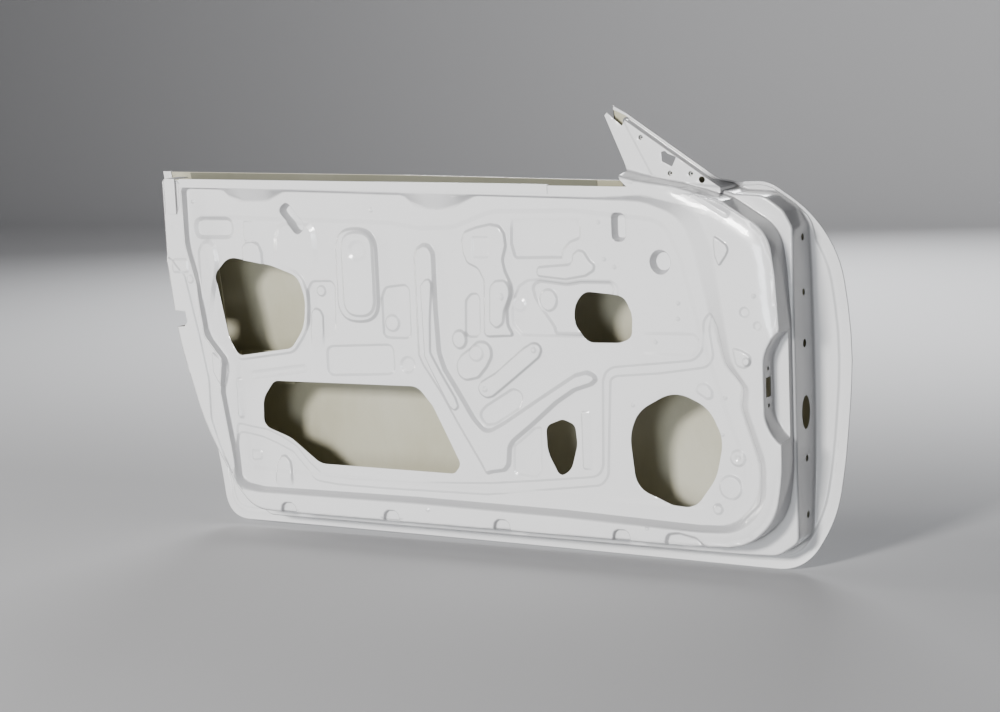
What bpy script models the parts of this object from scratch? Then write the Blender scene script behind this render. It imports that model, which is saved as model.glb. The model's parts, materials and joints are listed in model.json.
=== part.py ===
"""Car door shell: stamped inner panel hemmed to an outer skin, with its welded reinforcements.

Metres, +Z up, +X to the front of the car, +Y outboard. The origin is the middle of the flat
hinge face, so the shell hangs from that face in its own frame.
"""
import math

import bpy
from mathutils import Vector
from mathutils.geometry import delaunay_2d_cdt

# Whole door. Outlines below are in stations: one station is one millimetre at these sizes.
DOOR_LENGTH = 1.280
BODY_HEIGHT = 0.600
LENGTH_STATIONS = 1280.0
HEIGHT_STATIONS = 600.0

# Sheet and joint sizes.
PANEL_SHEET = 0.0009
SKIN_SHEET = 0.0008
REINFORCEMENT_SHEET = 0.0014
HINGE_PLATE_SHEET = 0.0025
JOINT_GAP = 0.0003
HEM_EDGE_GAP = 0.0012
HEM_WIDTH = 0.012
FLANGE_JOGGLE = 0.0025

# Depths of the stamping, measured along Y from the middle of the hinge face.
RIM_DEPTH = -0.092
FIELD_DRAW = 0.010
SHOULDER_DRAW = 0.005
LEDGE_DEPTH = -0.041
REAR_LEDGE_DEPTH = -0.004
CHECK_POCKET_DEPTH = -0.054
SAIL_DEPTH = -0.050
SAIL_SKIN_DEPTH = -0.034
CLIP_POCKET_DRAW = 0.015
PAD_DRAW = 0.004

# Crown of the outer skin.
SKIN_CREST = 0.050
SKIN_TOP_DROP = 0.026
SKIN_BOTTOM_DROP = 0.036
SKIN_END_DROP = 0.010
SKIN_CURVE_POWER = 2.6

# Heights on the hinge face, the check strap opening and the latch end, in stations.
HINGE_FACE_TOP = 221
HINGE_FACE_BOTTOM = -236
HINGE_HOLE_HEIGHTS = (210, 127, -128, -216)
LOCATING_HOLE_HEIGHT = 49
HARNESS_HOLE_CENTRE = -57
CHECK_CENTRE = -8
CHECK_WALL_HALF = 36
CHECK_BOLT_SPACING = 56
LATCH_HEIGHT = 72
LATCH_PLATE_HEIGHT = 120
LATCH_BOLT_SPACING = 56

# Hinge face.
HINGE_WALL_RUN = 0.003
HINGE_HOLE_RADIUS = 0.0055
HINGE_PLATE_MARGIN = 0.0175
LOCATING_HOLE_RADIUS = 0.0065
HARNESS_HOLE_WIDTH = 0.034
HARNESS_HOLE_HEIGHT = 0.052

# Check strap opening.
CHECK_SLOT_WIDTH = 0.020
CHECK_SLOT_HEIGHT = 0.030
CHECK_BOLT_RADIUS = 0.0035

# Latch end.
LATCH_BOLT_RADIUS = 0.0045

# Side impact beam.
BEAM_RADIUS = 0.0160
BEAM_WALL = 0.0022
BEAM_FRONT = (-75, 0)
BEAM_REAR = (-1050, -27)
BEAM_SKIN_CLEARANCE = 0.005

# Small hardware.
HINGE_NUT_RADIUS = 0.0090
HINGE_NUT_HEIGHT = 0.0080
SMALL_NUT_RADIUS = 0.0065
SMALL_NUT_HEIGHT = 0.0050
SAIL_NUT_RADIUS = 0.0047
NUT_BORE = 0.5
SAIL_HOLE_RADIUS = 0.0040
HANDLE_PLATE_SETBACK = 0.0020


def along(value):
    """Length stations to metres."""
    return value * DOOR_LENGTH / LENGTH_STATIONS


def up(value):
    """Height stations to metres."""
    return value * BODY_HEIGHT / HEIGHT_STATIONS


def place(points):
    """Stations with a corner radius each, to metres."""
    return [(along(p[0]), up(p[1]), (p[2] if len(p) > 2 else 0.0) * 0.001) for p in points]


def signed_area(loop):
    """Area of a closed loop, positive when it runs anticlockwise."""
    total = 0.0
    for (x0, z0), (x1, z1) in zip(loop, loop[1:] + loop[:1]):
        total += x0 * z1 - x1 * z0
    return total / 2


def rounded(points, arc_step=32.0):
    """Closed outline with each corner turned by its own radius."""
    loop = []
    count = len(points)
    for index, (x, z, radius) in enumerate(points):
        corner = Vector((x, z))
        before = Vector(points[index - 1][:2]) - corner
        after = Vector(points[(index + 1) % count][:2]) - corner
        turn = math.pi - before.angle(after)
        if radius < 1e-6 or turn < 0.03:
            loop.append((x, z))
            continue
        reach = radius * math.tan(turn / 2)
        limit = 0.48 * min(before.length, after.length)
        reach = min(reach, limit)
        start = corner + before.normalized() * reach
        end = corner + after.normalized() * reach
        steps = max(1, math.ceil(math.degrees(turn) / arc_step))
        for step in range(steps + 1):
            t = step / steps
            loop.append(tuple((1 - t) ** 2 * start + 2 * t * (1 - t) * corner + t * t * end))
    clean = [p for p, q in zip(loop, loop[-1:] + loop[:-1]) if math.dist(p, q) > 1e-5]
    return clean if signed_area(clean) > 0 else clean[::-1]


def divided(loop, longest):
    """The same loop with long sides split evenly and bowed out by a few thousandths of a millimetre."""
    result = []
    for p, q in zip(loop, loop[1:] + loop[:1]):
        length = math.dist(p, q)
        parts = max(1, math.ceil(length / longest))
        out = ((q[1] - p[1]) / length, (p[0] - q[0]) / length)
        for part in range(parts):
            t = part / parts
            bow = 0.000012 * t * (1 - t)
            result.append((p[0] + (q[0] - p[0]) * t + out[0] * bow, p[1] + (q[1] - p[1]) * t + out[1] * bow))
    return result


def inset(loop, distance):
    """Loop moved inward by a distance; outward when it is negative."""
    result = []
    count = len(loop)
    for index, point in enumerate(loop):
        here = Vector(point)
        back = (here - Vector(loop[index - 1])).normalized()
        ahead = (Vector(loop[(index + 1) % count]) - here).normalized()
        normal = Vector((-back.y, back.x)) + Vector((-ahead.y, ahead.x))
        normal.normalize()
        cosine = max(0.5, normal.dot(Vector((-back.y, back.x))))
        result.append(tuple(here + normal * distance / cosine))
    return result


def ring(x, z, radius_x, radius_z=None, count=12, turn=0.0):
    """Ellipse outline as a closed loop in metres."""
    radius_z = radius_z or radius_x
    loop = []
    for step in range(count):
        angle = 2 * math.pi * step / count
        dx = radius_x * math.cos(angle)
        dz = radius_z * math.sin(angle)
        c = math.cos(turn)
        s = math.sin(turn)
        loop.append((x + dx * c - dz * s, z + dx * s + dz * c))
    return loop


def pill(start, end, width, arc=5):
    """Round ended slot between two centres."""
    a = Vector(start)
    b = Vector(end)
    axis = (b - a).normalized()
    side = Vector((-axis.y, axis.x))
    loop = []
    for centre, sign in ((b, 1), (a, -1)):
        for step in range(arc + 1):
            angle = math.pi * (step / arc - 0.5)
            offset = axis * math.cos(angle) * sign + side * math.sin(angle) * sign
            loop.append(tuple(centre + offset * width / 2))
    return loop


def box_loop(x, z, width, height, radius):
    """Rectangle with round corners, centred."""
    w = width / 2
    h = height / 2
    corners = [(x - w, z - h), (x + w, z - h), (x + w, z + h), (x - w, z + h)]
    return rounded([(cx, cz, radius) for cx, cz in corners], arc_step=45.0)


def inside(point, loop):
    """True when the point lies inside the loop."""
    x, z = point
    hit = False
    x0, z0 = loop[-1]
    for x1, z1 in loop:
        if (z0 > z) != (z1 > z) and x < (x1 - x0) * (z - z0) / (z1 - z0) + x0:
            hit = not hit
        x0, z0 = x1, z1
    return hit


def distance_to(point, loop):
    """Shortest distance from a point to a closed loop."""
    px, pz = point
    best = 1e9
    x0, z0 = loop[-1]
    for x1, z1 in loop:
        dx = x1 - x0
        dz = z1 - z0
        span = dx * dx + dz * dz
        t = 0.0 if span == 0 else max(0.0, min(1.0, ((px - x0) * dx + (pz - z0) * dz) / span))
        ex = px - x0 - t * dx
        ez = pz - z0 - t * dz
        best = min(best, ex * ex + ez * ez)
        x0, z0 = x1, z1
    return math.sqrt(best)


class Step:
    """A change of depth between an outer and an inner outline."""

    def __init__(self, outer, inner, level=None, draw=0.0, cut_only=False):
        self.outer = outer
        self.inner = inner
        self.level = level
        self.draw = draw
        self.cut_only = cut_only
        self.low = (min(p[0] for p in outer), min(p[1] for p in outer))
        self.high = (max(p[0] for p in outer), max(p[1] for p in outer))

    def share(self, point):
        """0 outside the outer outline, 1 inside the inner one, between them in proportion."""
        if not (self.low[0] <= point[0] <= self.high[0] and self.low[1] <= point[1] <= self.high[1]):
            return 0.0
        near = distance_to(point, self.inner)
        if near < 1e-7 or inside(point, self.inner):
            return 1.0
        far = distance_to(point, self.outer)
        if far < 1e-7:
            return 0.0
        if not inside(point, self.outer):
            return 0.0
        return far / (far + near)

    def apply(self, depth, point):
        """Depth after this change."""
        share = self.share(point)
        if share == 0.0:
            return depth
        if self.level is not None:
            moved = depth + (self.level(*point) - depth) * share
            return max(moved, depth) if self.cut_only else moved
        return depth + self.draw * share


def bump(loop, run, draw):
    """A pad or recess whose wall leans over a run."""
    return Step(loop, inset(loop, run), draw=draw)


def ease(value, start, end):
    """Smooth share of the way from start to end."""
    t = max(0.0, min(1.0, (value - start) / (end - start)))
    return t * t * (3 - 2 * t)


def body_skin(x, z):
    """Inner face of the outer skin below the belt."""
    top = max(z, 0.0) / up(300)
    bottom = max(-z, 0.0) / up(305)
    end = (x - along(-600)) / along(650)
    depth = SKIN_CREST - SKIN_TOP_DROP * top ** SKIN_CURVE_POWER
    return depth - SKIN_BOTTOM_DROP * bottom ** SKIN_CURVE_POWER - SKIN_END_DROP * end * end


def skin_depth(x, z):
    """Inner face of the outer skin, with the sail set inboard of the belt."""
    share = ease(z, up(289), up(303)) * ease(x, along(-300), along(-288))
    share *= 1.0 - ease(x, along(-108), along(-98))
    return body_skin(x, z) * (1 - share) + SAIL_SKIN_DEPTH * share


def ledge_level(x, z):
    """Seal ledge: shallow round the front and the sill, deeper behind the latch face."""
    share = ease(x, along(-975), along(-1060))
    return LEDGE_DEPTH * (1 - share) + REAR_LEDGE_DEPTH * share


DOOR_OUTLINE = rounded(place([
    (-1098, -298, 60), (-100, -306, 0), (-14, -306, 40), (34, -235, 90), (52, -140, 120), (63, 10, 160),
    (52, 150, 120), (4, 254, 110), (-58, 292, 30), (-97, 291, 0), (-104, 288, 0), (-110, 294, 0),
    (-124, 303.7, 0), (-268, 402, 5), (-290, 414, 5), (-299, 411, 4), (-264.5, 303.5, 0), (-262, 295, 0),
    (-304, 296, 0), (-700, 309, 0), (-1196, 321, 0), (-1197, 304, 0), (-1202, 190, 90), (-1190, 40, 120),
    (-1152, -105, 120)]), arc_step=16.0)

RIM = rounded(place([
    (-1002, -212, 30), (-968, -249, 30), (-890, -251, 0), (-480, -252, 0), (-88, -254, 110), (-8, -246, 120),
    (-8, 84, 10), (-13, 165, 30), (-20, 212, 40), (-92, 268, 8), (-118, 277, 6), (-170, 289, 10),
    (-235, 299, 10), (-262, 306, 0), (-300, 318, 0), (-1136, 334, 0),
    (-1121, 180, 60), (-1105, 40, 60), (-1062, -105, 60)]), arc_step=24.0)

RIM_FOOT = rounded(place([
    (-1006, -226, 32), (-972, -265, 32), (-890, -265, 0), (-480, -266, 0), (-88, -268, 110), (-2, -262, 120),
    (-3, 86, 0), (-8, 165, 30), (-13, 215, 44), (-90, 275, 4), (-116, 284, 6), (-168, 300, 10),
    (-232, 312, 10), (-262, 320, 0), (-300, 332, 0), (-1154, 346, 0),
    (-1139, 180, 60), (-1123, 36, 60), (-1078, -112, 60)]), arc_step=24.0)

LEDGE = rounded(place([
    (-1012, -240, 34), (-978, -276, 34), (-890, -276, 0), (-480, -277, 0), (-100, -278, 60), (-34, -276, 40),
    (0, -252, 20), (0, 228, 20), (-14, 254, 30), (-44, 276, 40), (-92, 279, 3), (-114, 286, 4), (-168, 302, 10),
    (-232, 314, 10), (-262, 322, 0), (-300, 336, 0), (-1166, 352, 0), (-1151, 180, 60), (-1135, 32, 60), (-1088, -118, 60)]),
    arc_step=24.0)

FIELD_EDGE = rounded(place([
    (-1010, -222, 34), (-960, -226, 20), (-650, -226, 0), (-380, -230, 0), (-140, -238, 40), (-78, -236, 60),
    (-30, -192, 60), (-27, -120, 40), (-55, -40, 20), (-52, -8, 16), (-80, 30, 24), (-92, 105, 30),
    (-108, 206, 40), (-132, 262, 30), (-220, 284, 40), (-300, 280, 0), (-480, 285, 0), (-700, 291, 0),
    (-1086, 303, 12), (-1086, 200, 40), (-1066, 130, 20), (-1056, 44, 20), (-1020, 4, 16), (-1030, -52, 20),
    (-1014, -150, 30)]), arc_step=24.0)

FIELD = rounded(place([
    (-1000, -206, 30), (-956, -216, 20), (-650, -213, 0), (-380, -217, 0), (-150, -225, 30), (-92, -222, 50),
    (-52, -180, 50), (-49, -130, 40), (-80, -36, 20), (-74, -8, 16), (-104, 24, 24), (-122, 96, 30),
    (-146, 196, 40), (-166, 246, 36), (-226, 268, 40), (-300, 272, 0), (-514, 279, 12), (-560, 258, 12),
    (-622, 258, 12), (-650, 281, 12), (-880, 288, 12), (-914, 272, 12), (-984, 272, 12), (-1006, 292, 12),
    (-1080, 296, 10), (-1079, 200, 40), (-1059, 130, 20), (-1049, 46, 20), (-1012, 2, 14), (-1023, -52, 20),
    (-1006, -150, 30)]), arc_step=24.0)

SHOULDER = rounded(place([
    (-990, -190, 30), (-650, -198, 0), (-330, -200, 0), (-120, -205, 60), (-70, -170, 50), (-66, -125, 40),
    (-98, -36, 30), (-128, 60, 30), (-162, 190, 40), (-190, 246, 30), (-345, 262, 30), (-490, 261, 30),
    (-560, 236, 20), (-622, 234, 20), (-676, 243, 20), (-1060, 254, 10), (-1058, 200, 40), (-1040, 120, 20),
    (-1026, 50, 20), (-998, 0, 14), (-1008, -52, 20), (-990, -140, 30)]), arc_step=36.0)

REAR_ACCESS_HOLE = rounded(place([
    (-992, 10, 12), (-1012, 40, 20), (-1034, 150, 20), (-1004, 178, 24), (-918, 166, 20), (-862, 148, 18),
    (-850, 110, 18), (-854, 62, 20), (-882, 26, 16)]))
LOWER_ACCESS_HOLE = rounded(place([
    (-838, -170, 20), (-896, -128, 30), (-950, -108, 14), (-947, -60, 12), (-922, -32, 12), (-640, -30, 20),
    (-612, -62, 20), (-566, -154, 10), (-578, -171, 10)]))
MIRROR_WIRING_HOLE = rounded(place([
    (-352, 76, 12), (-350, 110, 14), (-332, 130, 14), (-262, 124, 14), (-250, 96, 14), (-252, 62, 12),
    (-272, 52, 12), (-322, 52, 14)]))
HANDLE_SMALL_HOLE = rounded(place([
    (-406, -84, 12), (-404, -126, 16), (-384, -164, 10), (-364, -152, 12), (-352, -112, 14), (-355, -80, 10),
    (-376, -73, 8)]))
SPEAKER_HOLE = rounded(place([
    (-262, -92, 26), (-246, -54, 30), (-184, -20, 40), (-128, -44, 36), (-106, -92, 30), (-118, -152, 34),
    (-154, -200, 26), (-190, -198, 26), (-252, -176, 26)]))
ACCESS_HOLES = [REAR_ACCESS_HOLE, LOWER_ACCESS_HOLE, MIRROR_WIRING_HOLE, HANDLE_SMALL_HOLE, SPEAKER_HOLE]

PANEL_TOP = place([(-1121, 313), (-700, 304), (-245, 294)])
SAIL_PLATE = rounded(place([
    (-110, 282, 0), (-110.3, 288.2, 0), (-271.2, 397.2, 0), (-336, 441, 0), (-330, 290, 0), (-130, 268, 0)]))
SAIL_PLATE_FOOT = rounded(place([
    (-108, 280, 0), (-108.7, 290.4, 0), (-269.7, 399.6, 0), (-342, 449, 0), (-340, 284, 0), (-128, 262, 0)]))
SAIL_HOLES = [(-237, 366), (-190, 311), (-156, 310)]
SAIL_WINDOW = rounded(place([(-206, 344, 3), (-196, 348, 2), (-180, 334, 3), (-188, 320, 2), (-206, 328, 3)]))
CONNECTOR_HOLE = (-138, 301)
LATCH_NOTCH = rounded(place([(-1121, 88, 3), (-1088, 86, 3), (-1086, 70, 3), (-1094, 60, 3), (-1118, 58, 3)]))
CHECK_POCKET = rounded(place([
    (-3.5, -96, 0), (-3.5, 84, 0), (-31, 38, 14), (-31, -54, 14)]))
CHECK_POCKET_FLOOR = rounded(place([
    (-3.5, -88, 0), (-3.5, 76, 0), (-27.5, 35, 12), (-27.5, -51, 12)]))


def clip_pockets():
    """Deep pockets for the trim clips and the inner handle."""
    shapes = [
        pill((along(-879), up(258)), (along(-857), up(232)), 0.026),
        pill((along(-268), up(242)), (along(-268), up(221)), 0.026),
        ring(along(-200), up(178), 0.0185, 0.0200),
    ]
    return [bump(shape, 0.004, CLIP_POCKET_DRAW) for shape in shapes]


def field_pads():
    """Shallow stiffening pads and recesses over the field, in or out by their draw."""
    recess = PAD_DRAW
    raised = -PAD_DRAW
    shapes = [
        (box_loop(along(-1030), up(229), along(82), up(36), 0.017), recess),
        (pill((along(-744), up(190)), (along(-744), up(114)), along(82)), raised),
        (box_loop(along(-817), up(105), along(54), up(70), 0.014), recess),
        (box_loop(along(-674), up(92), along(50), up(88), 0.014), recess),
        (box_loop(along(-745), up(10), along(140), up(50), 0.012), recess),
        (pill((along(-477), up(132)), (along(-477), up(84)), along(34)), raised),
        (pill((along(-527), up(118)), (along(-527), up(66)), along(28)), recess),
        (box_loop(along(-530), up(16), along(54), up(58), 0.024), raised),
        (pill((along(-500), up(-24)), (along(-425), up(27)), up(26)), recess),
        (pill((along(-476), up(-84)), (along(-330), up(0)), up(30)), raised),
        (box_loop(along(-192), up(60), along(104), up(36), 0.010), recess),
        (box_loop(along(-440), up(-128), along(50), up(80), 0.012), recess),
        (box_loop(along(-500), up(212), along(66), up(40), 0.014), recess),
        (ring(along(-61), up(107), 0.0110), recess),
        (ring(along(-40), up(87), 0.0110), recess),
        (ring(along(-80), up(-118), 0.0120), raised),
        (ring(along(-92), up(-162), 0.0180), raised),
        (rounded(place([(-632, 220, 20), (-632, 60, 60), (-580, -70, 60), (-528, -180, 12), (-500, -176, 12),
                        (-545, -80, 50), (-594, 40, 60), (-596, 220, 20)])), raised),
        (rounded(place([(-1000, -176, 12), (-870, -196, 20), (-600, -190, 10), (-600, -182, 10),
                        (-860, -186, 20), (-990, -160, 12)])), recess),
    ]
    return [bump(shape, 0.0028, draw) for shape, draw in shapes]


def panel_steps():
    """Every change of depth of the inner panel, from the hem inward."""
    steps = [
        Step(hem_band(HEM_WIDTH + 0.004), hem_band(HEM_WIDTH + 0.009), draw=-FLANGE_JOGGLE),
        Step(LEDGE_FOOT, LEDGE_LINE, level=ledge_level),
        Step(SAIL_PLATE_FOOT, SAIL_PLATE, level=lambda x, z: SAIL_DEPTH),
        Step(RIM_FOOT, RIM, level=lambda x, z: RIM_DEPTH),
        Step(POCKET_LINE, POCKET_FOOT, level=lambda x, z: CHECK_POCKET_DEPTH, cut_only=True),
        Step(FIELD_EDGE, FIELD, draw=FIELD_DRAW),
        bump(SHOULDER, 0.008, SHOULDER_DRAW),
    ]
    return steps + clip_pockets() + field_pads()


DOOR_LOOP = divided(DOOR_OUTLINE, 0.110)


def hem_band(width):
    """Inner edge of the hem: narrow round the sail and the top front corner."""
    narrow = width * 0.2
    result = []
    for (x, z), (nx, nz) in zip(DOOR_LOOP, inset(DOOR_LOOP, 1.0)):
        share = ease(z, up(205), up(245)) * ease(x, along(-330), along(-270))
        reach = width + (narrow - width) * share
        result.append((x + (nx - x) * reach, z + (nz - z) * reach))
    return result


def with_heights(loop, x, heights):
    """The loop with extra points on its straight side at one station along the door."""
    result = []
    for p, q in zip(loop, loop[1:] + loop[:1]):
        result.append(p)
        if abs(p[0] - x) < 1e-6 and abs(q[0] - x) < 1e-6:
            low, high = sorted((p[1], q[1]))
            between = [z for z in heights if low + 1e-5 < z < high - 1e-5]
            between.sort(reverse=p[1] > q[1])
            result += [(x, z) for z in between]
    return result


def heights_between(low, high, count):
    """Evenly spread heights with both ends."""
    return [low + (high - low) * i / count for i in range(count + 1)]


HINGE_HEIGHTS = heights_between(up(HINGE_FACE_BOTTOM), up(HINGE_FACE_TOP), 12)
CHECK_HEIGHTS = heights_between(up(CHECK_CENTRE - CHECK_WALL_HALF), up(CHECK_CENTRE + CHECK_WALL_HALF), 3)
CHECK_LINE_X = min(p[0] for p in CHECK_POCKET)
CHECK_FOOT_X = min(p[0] for p in CHECK_POCKET_FLOOR)
LEDGE_FOOT = with_heights(inset(LEDGE, -HINGE_WALL_RUN), HINGE_WALL_RUN, HINGE_HEIGHTS)
LEDGE_LINE = with_heights(LEDGE, 0.0, HINGE_HEIGHTS)
POCKET_LINE = with_heights(CHECK_POCKET, CHECK_LINE_X, CHECK_HEIGHTS)
POCKET_FOOT = with_heights(CHECK_POCKET_FLOOR, CHECK_FOOT_X, CHECK_HEIGHTS)


def panel_outline():
    """Edge of the inner panel: the hem line, opened along the belt and the glass side of the sail."""
    notch = [(x, z) for x, z, r in place([(-86, 289), (-96, 284.5), (-112, 286), (-130, 300)])]
    kept = []
    for x, z in inset(DOOR_LOOP, HEM_EDGE_GAP):
        if z > up(283) and along(-132) < x < along(-88):
            kept += notch
            notch = []
        elif not (z > up(284) and along(-1195) < x < along(-255) or z > up(306) and x < along(-1180)):
            kept.append((x, z))
    start = max(range(len(kept)), key=lambda i: math.dist(kept[i], kept[i - 1]))
    kept = kept[start:] + kept[:start]
    tip = [(x, z) for x, z, r in place([(-262, 396), (-269, 384), (-294, 405), (-298, 401), (-256, 304)])]
    top = [(x, z) for x, z, r in PANEL_TOP][::-1]
    rear = [(x, z) for x, z, r in place([(-1142, 304)])]
    return kept + tip + top + rear


def panel_depth(point, steps):
    """Depth of the visible face of the inner panel."""
    depth = skin_depth(*point) - JOINT_GAP - PANEL_SHEET
    for step in steps:
        depth = step.apply(depth, point)
    return depth


def triangulate(loops, points=()):
    """Constrained triangles over closed loops and loose points."""
    coords = []
    edges = []
    for loop in loops:
        first = len(coords)
        coords += [Vector(p) for p in loop]
        edges += [(first + i, first + (i + 1) % len(loop)) for i in range(len(loop))]
    coords += [Vector(p) for p in points]
    verts, _, faces, _, _, _ = delaunay_2d_cdt(coords, edges, [], 0, 1e-6)
    return [tuple(v) for v in verts], [tuple(f) for f in faces]


def keep_faces(verts, faces, outline, holes):
    """Faces whose middle is inside the outline and outside every hole."""
    kept = []
    for face in faces:
        if abs(signed_area([verts[i] for i in face])) < 1e-9:
            continue
        middle = tuple(sum(verts[i][k] for i in face) / 3 for k in (0, 1))
        if inside(middle, outline) and not any(inside(middle, hole) for hole in holes):
            kept.append(face)
    return kept


def newell(points):
    """Area normal of a polygon."""
    normal = Vector((0, 0, 0))
    for a, b in zip(points, points[1:] + points[:1]):
        normal += a.cross(b)
    return normal


def thicken(name, verts, faces, thickness):
    """Closed sheet: the given faces look out of one side, the other side is offset behind them."""
    used = sorted({i for face in faces for i in face})
    index = {old: new for new, old in enumerate(used)}
    front = [Vector(verts[i]) for i in used]
    faces = [tuple(index[i] for i in face) for face in faces]
    normals = [Vector((0, 0, 0)) for _ in front]
    for face in faces:
        points = [front[i] for i in face]
        normal = newell(points)
        if normal.length < 1e-14:
            continue
        normal.normalize()
        for k, i in enumerate(face):
            a = points[k - 1] - points[k]
            b = points[(k + 1) % len(points)] - points[k]
            if a.length > 1e-9 and b.length > 1e-9:
                normals[i] += normal * a.angle(b)
    back = [p - n.normalized() * thickness for p, n in zip(front, normals)]
    count = len(front)
    edges = {}
    for face in faces:
        for a, b in zip(face, face[1:] + face[:1]):
            edges[(a, b)] = True
    closed = list(faces) + [tuple(i + count for i in reversed(face)) for face in faces]
    for a, b in edges:
        if (b, a) not in edges:
            closed.append((b, a, a + count))
            closed.append((b, a + count, b + count))
    return make_object(name, front + back, closed)


def make_object(name, verts, faces):
    """New object in the scene from points and faces."""
    mesh = bpy.data.meshes.new(name)
    mesh.from_pydata([tuple(v) for v in verts], [], faces)
    mesh.validate()
    mesh.update()
    obj = bpy.data.objects.new(name, mesh)
    bpy.context.scene.collection.objects.link(obj)
    material = bpy.data.materials.new(name)
    material.use_nodes = True
    mesh.materials.append(material)
    return obj


def paint(obj, colour, roughness, metallic=0.0):
    """Plain finish of one piece."""
    shader = obj.data.materials[0].node_tree.nodes["Principled BSDF"]
    shader.inputs["Base Color"].default_value = (*colour, 1.0)
    shader.inputs["Roughness"].default_value = roughness
    shader.inputs["Metallic"].default_value = metallic
    obj.data.materials[0].diffuse_color = (*colour, 1.0)
    return obj


WHITE = (0.78, 0.78, 0.77)
PRIMER = (0.46, 0.44, 0.34)
ZINC = (0.42, 0.42, 0.42)
TAR = (0.06, 0.06, 0.06)


class UprightWall:
    """A wall square to the door, so that holes in it stay true."""

    def __init__(self, line_x, foot_x, heights):
        self.line_x = line_x
        self.foot_x = foot_x
        self.heights = heights
        self.low = heights[0] - 1e-7
        self.high = heights[-1] + 1e-7

    def covers(self, point):
        """True for a flat triangle middle that the upright wall takes over."""
        return self.line_x < point[0] < self.foot_x and self.low < point[1] < self.high

    def straighten(self, x, z):
        """True station of a point that sits on the foot of the wall."""
        if self.low < z < self.high and abs(x - self.foot_x) < 1e-6:
            return self.line_x
        return x

    def build(self, depth_of, holes):
        """Points and faces of the wall with its holes; holes are loops of depth and height."""
        line = [(depth_of((self.line_x, z)), z) for z in self.heights]
        foot = [(depth_of((self.foot_x, z)), z) for z in self.heights]
        loop = foot + line[::-1]
        verts, faces = triangulate([loop] + holes)
        faces = keep_faces(verts, faces, loop, holes)
        return [(self.line_x, y, z) for y, z in verts], faces


def merge(groups):
    """Join groups of points and faces where their points meet."""
    verts = []
    faces = []
    known = {}
    for group_verts, group_faces in groups:
        index = []
        for v in group_verts:
            key = tuple(round(c * 1e6) for c in v)
            if key not in known:
                known[key] = len(verts)
                verts.append(v)
            index.append(known[key])
        for face in group_faces:
            mapped = tuple(index[i] for i in face)
            if len(set(mapped)) == len(mapped):
                faces.append(mapped)
    return verts, faces


def hinge_holes():
    """Holes of the hinge face as depth and height loops."""
    holes = [ring(0.0, up(z), HINGE_HOLE_RADIUS, count=8) for z in HINGE_HOLE_HEIGHTS]
    holes.append(ring(0.0, up(LOCATING_HOLE_HEIGHT), LOCATING_HOLE_RADIUS, count=8))
    holes.append(ring(0.0, up(HARNESS_HOLE_CENTRE), HARNESS_HOLE_WIDTH / 2, HARNESS_HOLE_HEIGHT / 2, count=14))
    return holes


def check_strap_holes(middle):
    """Slot and bolt holes of the check strap as depth and height loops."""
    slot = box_loop(middle, up(CHECK_CENTRE), CHECK_SLOT_WIDTH, CHECK_SLOT_HEIGHT, 0.0)
    bolts = []
    for side in (-1, 1):
        height = up(CHECK_CENTRE + side * CHECK_BOLT_SPACING / 2)
        bolts.append(ring(middle, height, CHECK_BOLT_RADIUS, count=8))
    return [slot] + bolts


def latch_holes():
    """Latch opening in the rear corner and its three bolt holes, drawn on the leaning latch wall."""
    run = 0.2
    holes = [LATCH_NOTCH]
    for share, side in ((0.74, 1), (0.74, -1), (0.86, 0)):
        rise = up(side * LATCH_BOLT_SPACING / 2)
        x = along(-1110 - 18 * share) - rise * 0.06
        holes.append(ring(x, up(LATCH_HEIGHT) + rise, LATCH_BOLT_RADIUS * run, LATCH_BOLT_RADIUS, count=8))
    return holes


def sail_holes():
    """Mirror openings of the sail."""
    holes = [ring(along(x), up(z), SAIL_HOLE_RADIUS, count=8) for x, z in SAIL_HOLES]
    holes.append(ring(along(CONNECTOR_HOLE[0]), up(CONNECTOR_HOLE[1]), SAIL_HOLE_RADIUS * 1.3, count=8))
    return holes + [SAIL_WINDOW]


def build_inner_panel():
    """Stamped inner panel as one sheet."""
    steps = panel_steps()
    outline = panel_outline()
    holes = ACCESS_HOLES + latch_holes() + sail_holes()
    loops = [outline] + holes
    for step in steps:
        loops += [step.outer, step.inner]
    flat, faces = triangulate(loops)
    walls = [
        UprightWall(0.0, HINGE_WALL_RUN, HINGE_HEIGHTS),
        UprightWall(CHECK_LINE_X, CHECK_FOOT_X, CHECK_HEIGHTS),
    ]
    faces = keep_faces(flat, faces, outline, holes)
    kept = []
    for face in faces:
        middle = tuple(sum(flat[i][k] for i in face) / 3 for k in (0, 1))
        if not any(wall.covers(middle) for wall in walls):
            kept.append(face)
    used = {i for face in kept for i in face}
    verts = []
    for index, (x, z) in enumerate(flat):
        if index not in used:
            verts.append((x, 0.0, z))
            continue
        y = panel_depth((x, z), steps)
        for wall in walls:
            x = wall.straighten(x, z)
        verts.append((x, y, z))

    def depth_of(point):
        return panel_depth(point, steps)

    middle = (RIM_DEPTH + CHECK_POCKET_DEPTH) / 2
    groups = [
        (verts, kept),
        walls[0].build(depth_of, hinge_holes()),
        walls[1].build(depth_of, check_strap_holes(middle)),
    ]
    points, joined = merge(groups)
    return paint(thicken("inner_panel", points, joined, PANEL_SHEET), WHITE, 0.32)


def handle_opening(setback):
    """Opening for the outside handle, wider by the setback all round."""
    return pill((along(-1068), up(205)), (along(-950), up(203)), up(40) + 2 * setback)


def lock_opening(setback):
    """Round opening for the lock behind the handle."""
    return ring(along(-1113), up(203), along(11) + setback, up(11) + setback)


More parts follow.
